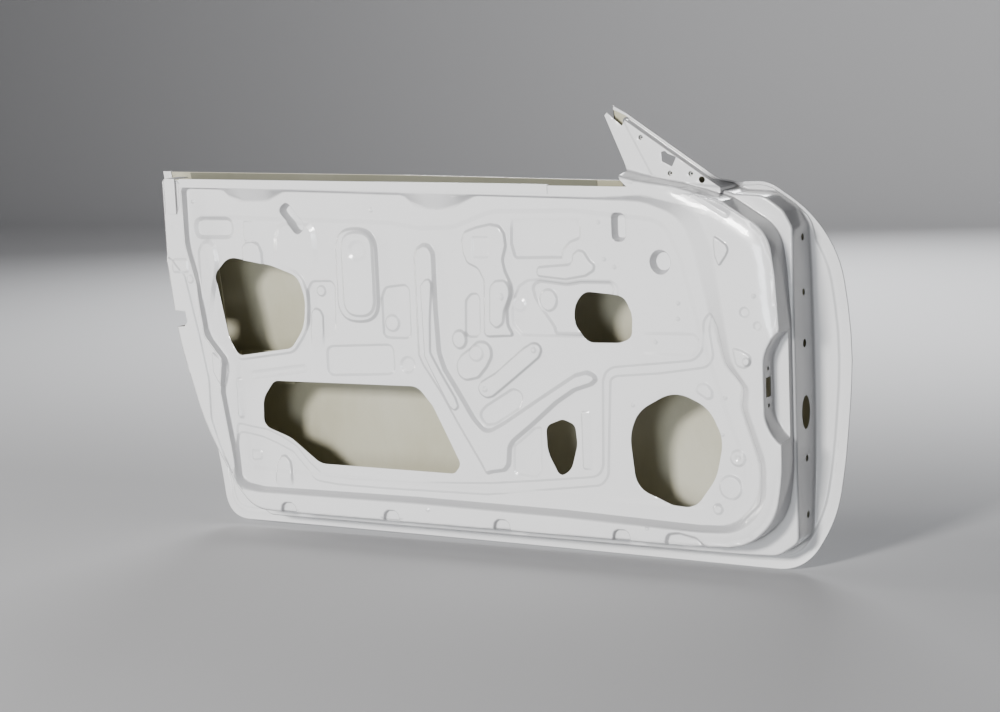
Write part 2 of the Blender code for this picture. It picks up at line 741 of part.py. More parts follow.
def build_outer_skin():
    """Outer skin with its hem folded back over the flange."""
    holes = [
        handle_opening(0.0),
        lock_opening(0.0),
        rounded(place([(-130, 315, 6), (-262, 398, 6), (-276, 396, 6), (-256, 315, 6)])),
    ]
    inner = hem_band(HEM_WIDTH)
    spots = []
    for column in range(1, 14):
        for row in range(-5, 6):
            point = (along(60 - column * 92), up(row * 52))
            if inside(point, inset(DOOR_LOOP, 0.022)) and min(distance_to(point, h) for h in holes) > 0.02:
                spots.append(point)
    flat, faces = triangulate([DOOR_LOOP, inner] + holes, spots)
    faces = keep_faces(flat, faces, DOOR_LOOP, holes)
    verts = [(x, skin_depth(x, z), z) for x, z in flat]
    fold = PANEL_SHEET + 2 * JOINT_GAP
    edge = [(x, skin_depth(x, z), z) for x, z in DOOR_LOOP]
    turned = [(x, skin_depth(x, z) - fold, z) for x, z in DOOR_LOOP]
    back = [(x, skin_depth(x, z) - fold, z) for x, z in inner]
    count = len(edge)
    strip = []
    for i in range(count):
        j = (i + 1) % count
        strip.append((j, i, count + i, count + j))
        strip.append((count + j, count + i, 2 * count + i, 2 * count + j))
    points, joined = merge([(verts, faces), (edge + turned + back, strip)])
    return paint(thicken("outer_skin", points, joined, SKIN_SHEET), WHITE, 0.35)


def sheet_through(name, loop, holes, depth_of, thickness, spots=()):
    """Sheet whose inboard face follows a depth rule over the door."""
    flat, faces = triangulate([loop] + list(holes), spots)
    faces = keep_faces(flat, faces, loop, holes)
    return thicken(name, [(x, depth_of(x, z), z) for x, z in flat], faces, thickness)


def upright_plate(name, outline, holes, face_x, thickness):
    """Flat plate square to the door, its front face at one station; outline in depth and height."""
    flat, faces = triangulate([outline] + holes)
    faces = keep_faces(flat, faces, outline, holes)
    return thicken(name, [(face_x, y, z) for y, z in flat], faces, thickness)


def swept(name, sections, thickness):
    """Sheet through open sections of equal length, one after another."""
    count = len(sections[0])
    verts = [p for section in sections for p in section]
    faces = []
    for s in range(len(sections) - 1):
        for i in range(count - 1):
            a = s * count + i
            faces.append((a, a + count, a + count + 1, a + 1))
    return thicken(name, verts, faces, thickness)


def lathe(name, start, end, profile, sides=12):
    """Closed ring of a profile of distance along the axis and radius."""
    a = Vector(start)
    axis = (Vector(end) - a).normalized()
    side = axis.orthogonal().normalized()
    other = axis.cross(side)
    verts = []
    for step in range(sides):
        angle = 2 * math.pi * step / sides
        out = side * math.cos(angle) + other * math.sin(angle)
        verts += [a + axis * t + out * r for t, r in profile]
    n = len(profile)
    faces = []
    for step in range(sides):
        following = (step + 1) % sides
        for i in range(n):
            k = (i + 1) % n
            faces.append((following * n + i, following * n + k, step * n + k, step * n + i))
    return make_object(name, verts, faces)


def nut(name, seat, direction, radius, height):
    """Weld nut standing off a sheet, with its bore."""
    start = Vector(seat)
    end = start + Vector(direction)
    bore = radius * NUT_BORE
    profile = [(0.0, bore), (0.0, radius), (height, radius), (height, bore)]
    return paint(lathe(name, start, end, profile, sides=6), ZINC, 0.4, 1.0)


def line_height(points, x):
    """Height of a line through stations at one place along the door."""
    ordered = sorted((p[0], p[1]) for p in points)
    for (x0, z0), (x1, z1) in zip(ordered, ordered[1:]):
        if x <= x1 or (x1, z1) == ordered[-1]:
            return z0 + (z1 - z0) * (x - x0) / (x1 - x0)
    return ordered[0][1]


SKIN_BELT = place([(-262, 295), (-700, 309), (-1193, 321)])


def build_belt_pieces():
    """Cap and channel of the inner belt, and the reinforcement hooked in the outer belt hem."""
    cap = []
    face = RIM_DEPTH - JOINT_GAP - REINFORCEMENT_SHEET
    for station in (-1085, -900, -700, -540, -380):
        x = along(station)
        top = line_height(PANEL_TOP, x)
        lip = top + JOINT_GAP + REINFORCEMENT_SHEET
        cap.append([(x, face, top - 0.0125), (x, face, lip), (x, face + 0.009, lip)])
    paint(swept("belt_cap_inner", cap, REINFORCEMENT_SHEET), WHITE, 0.32)

    channel = []
    back = RIM_DEPTH + PANEL_SHEET + JOINT_GAP + 0.0002
    for station in (-1055, -700, -290):
        x = along(station)
        top = line_height(PANEL_TOP, x)
        channel.append([(x, back + 0.036, top - 0.030), (x, back + 0.036, top - 0.0085),
                        (x, back, top - 0.0085), (x, back, top - 0.0015)])
    paint(swept("belt_channel_inner", channel, REINFORCEMENT_SHEET), PRIMER, 0.45)

    outer = []
    for step in range(11):
        x = along(-1140 + step * 79)
        top = line_height(SKIN_BELT, x)
        hook = JOINT_GAP + PANEL_SHEET
        drops = ((HEM_EDGE_GAP, hook), (0.016, hook), (0.022, 0.012), (0.056, 0.012), (0.063, 0.005), (0.074, 0.005))
        outer.append([(x, skin_depth(x, top - down) - stand, top - down) for down, stand in drops][::-1])
    paint(swept("belt_reinforcement_outer", outer, PANEL_SHEET), PRIMER, 0.45)


def beam_line():
    """Centre line ends of the side impact beam, tucked behind the skin."""
    ends = []
    for x, z in (BEAM_FRONT, BEAM_REAR):
        ends.append((along(x), up(z)))
    y = min(skin_depth(x, z) for x, z in ends) - BEAM_SKIN_CLEARANCE - BEAM_RADIUS
    return [(x, y, z) for x, z in ends]


def saddle(x, centre_y, centre_z, spread):
    """Section of a beam bracket: half round under the tube with a flange each side."""
    radius = BEAM_RADIUS + JOINT_GAP + REINFORCEMENT_SHEET + 0.0004
    points = [(x, centre_y, centre_z + spread), (x, centre_y, centre_z + radius)]
    for step in range(1, 6):
        angle = math.pi / 2 - math.pi * step / 6
        points.append((x, centre_y - radius * math.cos(angle), centre_z + radius * math.sin(angle)))
    return points + [(x, centre_y, centre_z - radius), (x, centre_y, centre_z - spread)]


def build_beam():
    """Side impact beam, its two end brackets and the mastic pads that steady the skin."""
    front, rear = beam_line()
    length = math.dist(front, rear)
    inner = BEAM_RADIUS - BEAM_WALL
    profile = [(0.0, inner), (0.0, BEAM_RADIUS), (length, BEAM_RADIUS), (length, inner)]
    paint(lathe("side_impact_beam", front, rear, profile, sides=16), PRIMER, 0.45)

    def centre(x):
        share = (x - front[0]) / (rear[0] - front[0])
        return front[1] + (rear[1] - front[1]) * share, front[2] + (rear[2] - front[2]) * share

    wall = -(PANEL_SHEET + JOINT_GAP + REINFORCEMENT_SHEET)
    sections = [saddle(x, *centre(x), 0.028)[::-1] for x in (along(-165), along(-30), wall)]
    sections.append([(x, y - 0.020, z) for x, y, z in sections[-1]])
    paint(swept("beam_bracket_front", sections, REINFORCEMENT_SHEET), PRIMER, 0.45)
    sections = [saddle(x, *centre(x), 0.030)[::-1] for x in (along(-1060), along(-950))]
    middle = centre(along(-1060))[1]
    seat = REAR_LEDGE_DEPTH + PANEL_SHEET + JOINT_GAP
    for station in (-1103, -1111):
        tab = [(along(station), seat, middle + (z - middle) * 0.45) for x, y, z in sections[0 if station > -1105 else 1]]
        sections.insert(0, tab)
    paint(swept("beam_bracket_rear", sections, REINFORCEMENT_SHEET), PRIMER, 0.45)

    for number, station in enumerate((-300, -560, -820), 1):
        x = along(station)
        y, z = centre(x)
        low = y + BEAM_RADIUS + JOINT_GAP
        high = skin_depth(x, z) - 0.0015
        verts = [(x + dx, yy, z + dz) for yy in (low, high) for dx, dz in
                 ((-0.025, -0.007), (0.025, -0.007), (0.025, 0.007), (-0.025, 0.007))]
        faces = [(0, 1, 2, 3), (7, 6, 5, 4), (0, 4, 5, 1), (1, 5, 6, 2), (2, 6, 7, 3), (3, 7, 4, 0)]
        paint(make_object(f"beam_mastic_pad_{number}", verts, faces), TAR, 0.9)


def build_hinge_end():
    """Hinge plates and check strap plate with their weld nuts."""
    seat = -(PANEL_SHEET + JOINT_GAP)
    for name, stations in (("upper", HINGE_HOLE_HEIGHTS[:2]), ("lower", HINGE_HOLE_HEIGHTS[2:])):
        heights = [up(z) for z in stations]
        middle = sum(heights) / 2
        reach = (heights[0] - heights[1]) / 2 + HINGE_PLATE_MARGIN
        outline = rounded([(y, middle + z, 0.010) for y, z in
                           ((-0.034, -reach), (0.016, -reach), (0.016, reach), (-0.034, reach))], 45.0)
        holes = [ring(0.0, z, HINGE_HOLE_RADIUS + 0.0008, count=8) for z in heights]
        plate = upright_plate(f"hinge_reinforcement_{name}", outline, holes, seat, HINGE_PLATE_SHEET)
        paint(plate, PRIMER, 0.45)
        for number, z in enumerate(heights, 1):
            start = (seat - HINGE_PLATE_SHEET - JOINT_GAP, 0.0, z)
            nut(f"hinge_weld_nut_{name}_{number}", start, (-1, 0, 0), HINGE_NUT_RADIUS, HINGE_NUT_HEIGHT)

    middle = (RIM_DEPTH + CHECK_POCKET_DEPTH) / 2
    seat = CHECK_LINE_X - PANEL_SHEET - JOINT_GAP
    outline = box_loop(middle, up(CHECK_CENTRE), 0.029, up(2 * CHECK_WALL_HALF) - 0.002, 0.006)
    holes = [box_loop(middle, up(CHECK_CENTRE), CHECK_SLOT_WIDTH + 0.001, CHECK_SLOT_HEIGHT + 0.002, 0.0)]
    for side in (-1, 1):
        z = up(CHECK_CENTRE + side * CHECK_BOLT_SPACING / 2)
        holes.append(ring(middle, z, CHECK_BOLT_RADIUS + 0.0005, count=8))
        start = (seat - REINFORCEMENT_SHEET - JOINT_GAP, middle, z)
        label = "lower" if side < 0 else "upper"
        nut(f"check_strap_weld_nut_{label}", start, (-1, 0, 0), SMALL_NUT_RADIUS, SMALL_NUT_HEIGHT)
    plate = upright_plate("check_strap_reinforcement", outline, holes, seat, REINFORCEMENT_SHEET)
    paint(plate, PRIMER, 0.45)


def rear_line(loop, z):
    """Station of the rear side of a loop at one height."""
    best = 1e9
    for (x0, z0), (x1, z1) in zip(loop, loop[1:] + loop[:1]):
        if (z0 > z) != (z1 > z):
            best = min(best, x0 + (x1 - x0) * (z - z0) / (z1 - z0))
    return best


def build_latch_reinforcement():
    """Plate behind the latch wall, open where the latch enters."""
    span = REAR_LEDGE_DEPTH - RIM_DEPTH
    low = 0.012
    high = span - 0.014
    half = up(LATCH_PLATE_HEIGHT) / 2
    z0 = up(LATCH_HEIGHT)
    outline = [(low, z0 + half), (low, z0 + 0.021), (0.054, z0 + 0.021), (0.054, z0 - 0.019), (low, z0 - 0.019),
               (low, z0 - half), (high, z0 - half), (high, z0), (high, z0 + half)]
    if signed_area(outline) < 0:
        outline = outline[::-1]
    holes = []
    for side in (1, -1):
        height = up(LATCH_HEIGHT + side * LATCH_BOLT_SPACING / 2)
        holes.append(ring(span * 0.74, height, LATCH_BOLT_RADIUS + 0.001, count=8))
    flat, faces = triangulate([outline] + holes)
    faces = keep_faces(flat, faces, outline, holes)
    verts = []
    for s, z in flat:
        share = s / span
        top = rear_line(RIM, z)
        foot = rear_line(RIM_FOOT, z)
        verts.append((top + (foot - top) * share + 0.0032, RIM_DEPTH + s, z))
    paint(thicken("latch_reinforcement", verts, faces, REINFORCEMENT_SHEET), PRIMER, 0.45)


def build_sail():
    """Mirror reinforcement in the sail with its weld nuts."""
    face = SAIL_DEPTH + PANEL_SHEET + JOINT_GAP
    outline = rounded(place([(-140, 300, 8), (-258, 384, 6), (-272, 384, 4), (-252, 322, 8), (-215, 300, 8)]))
    holes = [ring(along(x), up(z), SAIL_HOLE_RADIUS + 0.001, count=8) for x, z in SAIL_HOLES]
    window = inset(SAIL_WINDOW, -0.002)
    sheet = sheet_through("mirror_reinforcement", outline, holes + [window], lambda x, z: face, REINFORCEMENT_SHEET)
    paint(sheet, PRIMER, 0.45)
    for number, (x, z) in enumerate(SAIL_HOLES, 1):
        start = (along(x), face + REINFORCEMENT_SHEET + JOINT_GAP, up(z))
        nut(f"mirror_weld_nut_{number}", start, (0, 1, 0), SAIL_NUT_RADIUS, SMALL_NUT_HEIGHT)


def channel_section(x, y, z):
    """Glass run channel section, open to the glass."""
    return [(x + 0.014, y - 0.007, z), (x, y - 0.007, z), (x, y + 0.007, z), (x + 0.014, y + 0.007, z)]


def build_glass_runs():
    """Front and rear glass run channels."""
    front = [channel_section(along(-262), -0.044, up(284)), channel_section(along(-240), -0.036, up(20))]
    paint(swept("glass_run_channel_front", [[(-p[0] + 2 * s[0][0] - 0.014, p[1], p[2]) for p in s]
                                            for s in front][::-1], REINFORCEMENT_SHEET), PRIMER, 0.45)
    rear = [channel_section(along(-1092), -0.030, up(284)), channel_section(along(-1076), -0.018, up(30))]
    paint(swept("glass_run_channel_rear", rear, REINFORCEMENT_SHEET), PRIMER, 0.45)
    share = (284 - 165) / (284 - 20)
    foot = RIM_DEPTH + FIELD_DRAW + SHOULDER_DRAW + PANEL_SHEET + JOINT_GAP
    head = -0.044 + 0.008 * share - 0.007 - REINFORCEMENT_SHEET - 2 * JOINT_GAP
    glass_run_bracket("glass_run_bracket_front", along(-262 + 22 * share), foot, head, up(165), -1)
    share = (284 - 165) / (284 - 30)
    foot = RIM_DEPTH + PANEL_SHEET + JOINT_GAP
    head = -0.030 + 0.012 * share - 0.007 - REINFORCEMENT_SHEET - 2 * JOINT_GAP
    glass_run_bracket("glass_run_bracket_rear", along(-1092 + 16 * share), foot, head, up(165), -1)


def glass_run_bracket(name, x, foot, head, height, side):
    """Z bracket from the inner panel out to a glass run channel."""
    base = foot + REINFORCEMENT_SHEET
    points = [(x - 0.002 * side, head), (x + 0.012 * side, head), (x + 0.012 * side, base), (x + 0.024 * side, base)]
    sections = [[(px, y, height + dz) for px, y in points] for dz in (0.009, -0.009)]
    paint(swept(name, sections, REINFORCEMENT_SHEET), PRIMER, 0.45)


def build_skin_pieces():
    """Handle reinforcement and sound deadening sheet behind the skin, and the rear corner cap."""
    outline = rounded(place([(-935, 180, 12), (-935, 228, 12), (-1135, 230, 12), (-1135, 180, 12)]))
    holes = [
        handle_opening(HANDLE_PLATE_SETBACK),
        lock_opening(HANDLE_PLATE_SETBACK),
    ]
    spots = [(along(-1010 + 40 * i), up(z)) for i in (-1, 0, 1) for z in (183, 226)]
    stand = REINFORCEMENT_SHEET + 0.0008
    sheet = sheet_through("handle_reinforcement", outline, holes, lambda x, z: skin_depth(x, z) - stand,
                          REINFORCEMENT_SHEET, spots)
    paint(sheet, PRIMER, 0.45)

    outline = divided(rounded(place([(-800, 40, 20), (-440, 40, 20), (-440, 150, 20), (-800, 150, 20)])), 0.09)
    spots = [(along(-770 + 75 * i), up(z)) for i in range(5) for z in (68, 95, 122)]
    sheet = sheet_through("sound_deadening_sheet", outline, [], lambda x, z: skin_depth(x, z) - 0.0032, 0.0020, spots)
    paint(sheet, TAR, 0.85)

    face = RIM_DEPTH - JOINT_GAP - REINFORCEMENT_SHEET
    sections = []
    for station in (-1117, -1096):
        x = along(station)
        top = line_height(PANEL_TOP, x) + JOINT_GAP + REINFORCEMENT_SHEET
        sections.append([(x, face, top - 0.060), (x, face, top), (x, face + 0.040, top + 0.001)])
    paint(swept("belt_end_cap_rear", sections, REINFORCEMENT_SHEET), WHITE, 0.32)


def build():
    """Build every piece."""
    build_inner_panel()
    build_outer_skin()
    build_belt_pieces()
    build_beam()
    build_hinge_end()
    build_latch_reinforcement()
    build_sail()
    build_glass_runs()
    build_skin_pieces()


for old in list(bpy.data.objects):
    bpy.data.objects.remove(old, do_unlink=True)
build()
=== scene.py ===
"""Looks of the car door shell: the stamped sheets as fine meshes, their paint, and the studio.

Metres, +Z up, +X to the front of the car, +Y outboard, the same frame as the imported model.
Outlines are in stations: one station is one millimetre along X or Z.
Depth is Y: less is nearer the cabin.
"""
from __future__ import annotations

import json
import logging
import math
from dataclasses import dataclass
from enum import Enum
from typing import Callable, Sequence

import bmesh
import bpy
import numpy as np
from mathutils import Matrix, Vector
from mathutils.geometry import delaunay_2d_cdt

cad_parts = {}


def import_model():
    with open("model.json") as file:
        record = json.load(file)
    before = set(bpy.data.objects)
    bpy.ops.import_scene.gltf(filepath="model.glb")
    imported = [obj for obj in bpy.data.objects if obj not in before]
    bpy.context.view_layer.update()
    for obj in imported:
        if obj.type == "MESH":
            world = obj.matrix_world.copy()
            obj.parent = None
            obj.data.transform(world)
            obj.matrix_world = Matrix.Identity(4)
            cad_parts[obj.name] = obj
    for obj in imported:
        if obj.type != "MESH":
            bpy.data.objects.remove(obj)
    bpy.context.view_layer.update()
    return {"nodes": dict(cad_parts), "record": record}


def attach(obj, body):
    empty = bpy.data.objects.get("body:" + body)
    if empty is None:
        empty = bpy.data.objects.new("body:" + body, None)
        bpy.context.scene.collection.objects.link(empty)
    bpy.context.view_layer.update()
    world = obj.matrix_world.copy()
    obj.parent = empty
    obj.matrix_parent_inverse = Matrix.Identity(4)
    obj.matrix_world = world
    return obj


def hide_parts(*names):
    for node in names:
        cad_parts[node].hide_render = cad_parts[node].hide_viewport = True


LOG = logging.getLogger("door_shell")
MM = 0.001

Corner = tuple[float, float, float]
Spot = tuple[float, float, float]
Tone = tuple[float, float, float]
Fade = tuple[float, float, float, float]
DepthRule = Callable[[np.ndarray], np.ndarray]


class Draw(Enum):
    """Which way a pad is pressed: towards the cabin or towards the skin."""

    RAISED = -1.0
    RECESSED = 1.0


@dataclass(frozen=True)
class Sizes:
    """Thicknesses, depths and skin curve, in metres.

    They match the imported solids, but more of the field's drop lies in its first slope.
    """

    panel_sheet: float = 0.0009
    skin_sheet: float = 0.0008
    joint_gap: float = 0.0003
    hem_width: float = 0.012
    rim_depth: float = -0.092
    field_draw: float = 0.0128
    shoulder_draw: float = 0.0022
    ledge_depth: float = -0.041
    rear_ledge_depth: float = -0.004
    check_pocket_depth: float = -0.054
    sail_depth: float = -0.050
    sail_skin_depth: float = -0.034
    hem_joggle: float = 0.0025
    edge_setback: float = 0.0012
    skin_crest: float = 0.050
    skin_top_drop: float = 0.026
    skin_bottom_drop: float = 0.036
    skin_end_drop: float = 0.010
    skin_curve_power: float = 2.6
    skin_top_reach: float = 0.300
    skin_bottom_reach: float = 0.305
    skin_middle: float = -0.600
    skin_half_length: float = 0.650


@dataclass(frozen=True)
class EmbossShares:
    """How the listed height, wall run and corner radius of an emboss turn into the pressed ones.

    A recess listed as deep as the deepest one or deeper keeps its height.
    """

    raised: float = 1.55
    sunk: float = 1.25
    deepest: float = 10.0
    run: float = 1.5
    corner: float = 1.7


@dataclass(frozen=True)
class MeshSteps:
    """How finely outlines and flats are split, and what counts as sharp, straight or joined."""

    facet_length: float = 0.0024
    finest_facet: float = 4.0
    coarsest_facet: float = 15.0
    side: float = 0.016
    open_side: float = 0.014
    grid: int = 20
    grid_x: tuple[int, int] = (-1190, 60)
    grid_z: tuple[int, int] = (-300, 400)
    batch: int = 3000
    pattern_samples: int = 4001
    sharp_radius: float = 1e-6
    straight_turn: float = 0.02
    corner_reach: float = 0.48
    smallest_area: float = 1e-13
    joined_below: float = 0.00002


SIZES = Sizes()
SHARES = EmbossShares()
STEPS = MeshSteps()

# Where the skin steps inboard to become the sail: over these heights, and from and to these lengths.
SAIL_RISE = (0.289, 0.303)
SAIL_REAR = (-0.300, -0.288)
SAIL_FRONT = (-0.108, -0.098)

# Distance behind the hinge face over which the seal ledge sinks to its rear depth.
REAR_LEDGE_TURN = (0.975, 1.060)

# Lean of the sheet in degrees, from flat to a full wall; the painted shade on walls fades in over it.
WALL_LEAN = (6.0, 48.0)


def corners(*values: tuple[float, ...]) -> list[Corner]:
    """Corner list in stations from pairs or triples.

    Args:
        values: x, z and an optional corner radius, in stations.

    Returns:
        The same corners with a radius each, in metres.
    """
    return [(v[0] * MM, v[1] * MM, (v[2] if len(v) > 2 else 0.0) * MM) for v in values]


def arc_counts(ring: Sequence[Corner]) -> list[int]:
    """How many facets each corner of a closed outline gets.

    Args:
        ring: corners with their radii.

    Returns:
        One count per corner, 0 for a sharp one.
    """
    counts = []
    for index, (x, z, radius) in enumerate(ring):
        before = Vector((ring[index - 1][0] - x, ring[index - 1][1] - z))
        after_corner = ring[(index + 1) % len(ring)]
        after = Vector((after_corner[0] - x, after_corner[1] - z))
        turn = math.pi - before.angle(after)
        if radius < STEPS.sharp_radius or turn < STEPS.straight_turn:
            counts.append(0)
            continue
        facet = math.degrees(STEPS.facet_length / radius)
        facet = max(STEPS.finest_facet, min(STEPS.coarsest_facet, facet))
        counts.append(max(2, math.ceil(math.degrees(turn) / facet)))
    return counts


def trace(ring: Sequence[Corner], counts: Sequence[int]) -> np.ndarray:
    """Closed outline with round corners and evenly split sides.

    Args:
        ring: corners with their radii.
        counts: facets of each corner, from arc_counts.

    Returns:
        Points in rows of x and z.
    """
    groups = []
    for index, (x, z, radius) in enumerate(ring):
        corner = np.array((x, z))
        before = np.array(ring[index - 1][:2]) - corner
        after = np.array(ring[(index + 1) % len(ring)][:2]) - corner
        if counts[index] == 0:
            groups.append([corner])
            continue
        back, ahead = np.linalg.norm(before), np.linalg.norm(after)
        turn = math.pi - math.acos(np.clip(before @ after / back / ahead, -1, 1))
        reach = min(radius * math.tan(turn / 2), STEPS.corner_reach * min(back, ahead))
        start = corner + before / back * reach
        end = corner + after / ahead * reach
        steps = np.linspace(0.0, 1.0, counts[index] + 1)
        groups.append([(1 - t) ** 2 * start + 2 * t * (1 - t) * corner + t * t * end for t in steps])
    points = []
    for group, following in zip(groups, groups[1:] + groups[:1]):
        points.extend(group)
        gap = following[0] - group[-1]
        parts = max(1, math.ceil(np.linalg.norm(gap) / STEPS.side))
        points.extend(group[-1] + gap * k / parts for k in range(1, parts))
    return np.array(points)


def outline(ring: Sequence[Corner]) -> np.ndarray:
    """Traced outline of one set of corners."""
    return trace(ring, arc_counts(ring))


def traced(ring: Sequence[Corner]) -> np.ndarray:
    """Anticlockwise outline of one set of corners."""
    return anticlockwise(outline(ring))


def between(outer: Sequence[Corner], inner: Sequence[Corner], share: float) -> np.ndarray:
    """Outline part of the way between two matched sets of corners.

    Args:
        outer: corners at share 0.
        inner: as many corners at share 1.
        share: how far in.

    Returns:
        Points in rows of x and z.
    """
    mixed = [tuple(a + (b - a) * share for a, b in zip(p, q)) for p, q in zip(outer, inner)]
    counts = [max(a, b) for a, b in zip(arc_counts(outer), arc_counts(inner))]
    return trace(mixed, counts)


def moved_in(loop: np.ndarray, distance: float) -> np.ndarray:
    """Anticlockwise loop moved inward, or outward when the distance is negative."""
    back = loop - np.roll(loop, 1, axis=0)
    ahead = np.roll(loop, -1, axis=0) - loop
    back /= np.linalg.norm(back, axis=1)[:, None]
    ahead /= np.linalg.norm(ahead, axis=1)[:, None]
    left = np.stack([-back[:, 1], back[:, 0]], axis=1)
    normal = left + np.stack([-ahead[:, 1], ahead[:, 0]], axis=1)
    normal /= np.maximum(np.linalg.norm(normal, axis=1), 1e-9)[:, None]
    cosine = np.maximum(0.5, (normal * left).sum(axis=1))
    return loop + normal * (distance / cosine)[:, None]


def anticlockwise(loop: np.ndarray) -> np.ndarray:
    """The loop, turned round if it runs clockwise."""
    x, z = loop[:, 0], loop[:, 1]
    area = (x * np.roll(z, -1) - np.roll(x, -1) * z).sum()
    return loop if area > 0 else loop[::-1]


def ellipse(x: float, z: float, wide: float, tall: float | None = None, count: int = 22) -> np.ndarray:
    """Ellipse outline in stations, as metres."""
    tall = wide if tall is None else tall
    angle = np.arange(count) * 2 * math.pi / count
    return np.stack([(x + wide * np.cos(angle)) * MM, (z + tall * np.sin(angle)) * MM], axis=1)


def slot(x0: float, z0: float, x1: float, z1: float, width: float) -> np.ndarray:
    """Round ended slot between two centres, in stations, as metres."""
    axis = np.array((x1 - x0, z1 - z0)) * MM
    length = np.linalg.norm(axis)
    axis /= length
    side = np.array((-axis[1], axis[0]))
    half = width * MM / 2
    start = np.array((x0, z0)) * MM
    end = np.array((x1, z1)) * MM
    shape = [start - axis * half - side * half, end + axis * half - side * half,
             end + axis * half + side * half, start - axis * half + side * half]
    return outline([(p[0], p[1], half * 0.97) for p in shape])


def block(x: float, z: float, wide: float, tall: float, radius: float) -> np.ndarray:
    """Rectangle with round corners, in stations, as metres."""
    w, t = wide / 2, tall / 2
    return outline(corners((x - w, z - t, radius), (x + w, z - t, radius), (x + w, z + t, radius),
                           (x - w, z + t, radius)))


def inside(points: np.ndarray, loop: np.ndarray) -> np.ndarray:
    """Which points lie inside a closed loop."""
    hit = np.zeros(len(points), bool)
    x, z = points[:, 0], points[:, 1]
    for (x0, z0), (x1, z1) in zip(np.roll(loop, 1, axis=0), loop):
        if z0 == z1:
            continue
        crosses = (z0 > z) != (z1 > z)
        hit ^= crosses & (x < (x1 - x0) * (z - z0) / (z1 - z0) + x0)
    return hit


def nearest_distance(points: np.ndarray, loop: np.ndarray) -> np.ndarray:
    """Distance from each point to the closest side of a closed loop."""
    side = np.roll(loop, -1, axis=0) - loop
    square = np.maximum((side ** 2).sum(axis=1), 1e-18)
    best = np.empty(len(points))
    for first in range(0, len(points), STEPS.batch):
        chunk = points[first:first + STEPS.batch]
        gap = chunk[:, None, :] - loop[None, :, :]
        t = np.clip((gap * side).sum(axis=2) / square, 0.0, 1.0)
        off = gap - t[:, :, None] * side
        best[first:first + STEPS.batch] = np.sqrt((off ** 2).sum(axis=2).min(axis=1))
    return best


def ease(value: np.ndarray, start: float, end: float) -> np.ndarray:
    """Smooth share of the way from start to end."""
    t = np.clip((value - start) / (end - start), 0.0, 1.0)
    return t * t * (3 - 2 * t)


@dataclass(frozen=True)
class WallBend:
    """Section of a pressed wall: a foot radius, a straight lean and a top radius.

    Where a wall is too narrow or too low for both radii, they shrink to fill these shares of it.
    """

    foot: float
    top: float
    run_fill: float = 0.97
    height_fill: float = 0.94
    steepest: float = 1.5706

    def fitted(self, run: np.ndarray, height: np.ndarray) -> tuple[np.ndarray, np.ndarray, np.ndarray]:
        """Slant of the straight part and the radii that fit.

        Args:
            run: plan width of the wall.
            height: depth of the wall.

        Returns:
            Slant in radians, foot radius and top radius.
        """
        total = self.foot + self.top
        run = np.maximum(run, 1e-6)
        height = np.maximum(height, 1e-7)
        scale = np.minimum(1.0, self.run_fill * run / total)
        scale = np.minimum(scale, self.height_fill * (run ** 2 + height ** 2) / (2 * height) / total)
        both = total * scale
        reach = np.sqrt(run ** 2 + (height - both) ** 2)
        slant = np.arcsin(np.clip(both / reach, -1, 1)) + np.arctan2(height - both, run)
        return slant, self.foot * scale, self.top * scale

    def drop(self, station: np.ndarray, run: np.ndarray, height: np.ndarray) -> np.ndarray:
        """How far down the wall a plan station is.

        Args:
            station: plan distance from the outer line.
            run: plan width of the wall.
            height: depth of the wall.

        Returns:
            Depth gained, from 0 to the height.
        """
        slant, foot, top = self.fitted(run, height)
        foot_end = foot * np.sin(slant)
        top_start = run - top * np.sin(slant)
        low = foot - np.sqrt(np.maximum(foot ** 2 - np.minimum(station, foot_end) ** 2, 0))
        rest = run - np.maximum(station, top_start)
        high = height - top + np.sqrt(np.maximum(top ** 2 - rest ** 2, 0))
        slope = np.tan(np.minimum(slant, self.steepest))
        straight = foot * (1 - np.cos(slant)) + (station - foot_end) * slope
        return np.where(station <= foot_end, low, np.where(station >= top_start, high, straight))

    def ring_shares(self, run: float, height: float, facets: int = 4) -> list[float]:
        """Shares of the run at which the mesh needs a ring.

        Args:
            run: plan width of the wall.
            height: depth of the wall.
            facets: facets of each radius.

        Returns:
            Rising shares from 0 to 1.
        """
        slant, foot, top = (float(v[0]) for v in self.fitted(np.array([run]), np.array([height])))
        shares = [foot * math.sin(slant * k / facets) / run for k in range(facets + 1)]
        shares += [1 - top * math.sin(slant * k / facets) / run for k in range(facets, -1, -1)]
        return sorted({round(s, 4) for s in shares})


SOFT = WallBend(0.0030, 0.0030)
CRISP = WallBend(0.0016, 0.0016)
WIDE = WallBend(0.0070, 0.0070)
UPRIGHT = WallBend(0.0040, 0.0040)


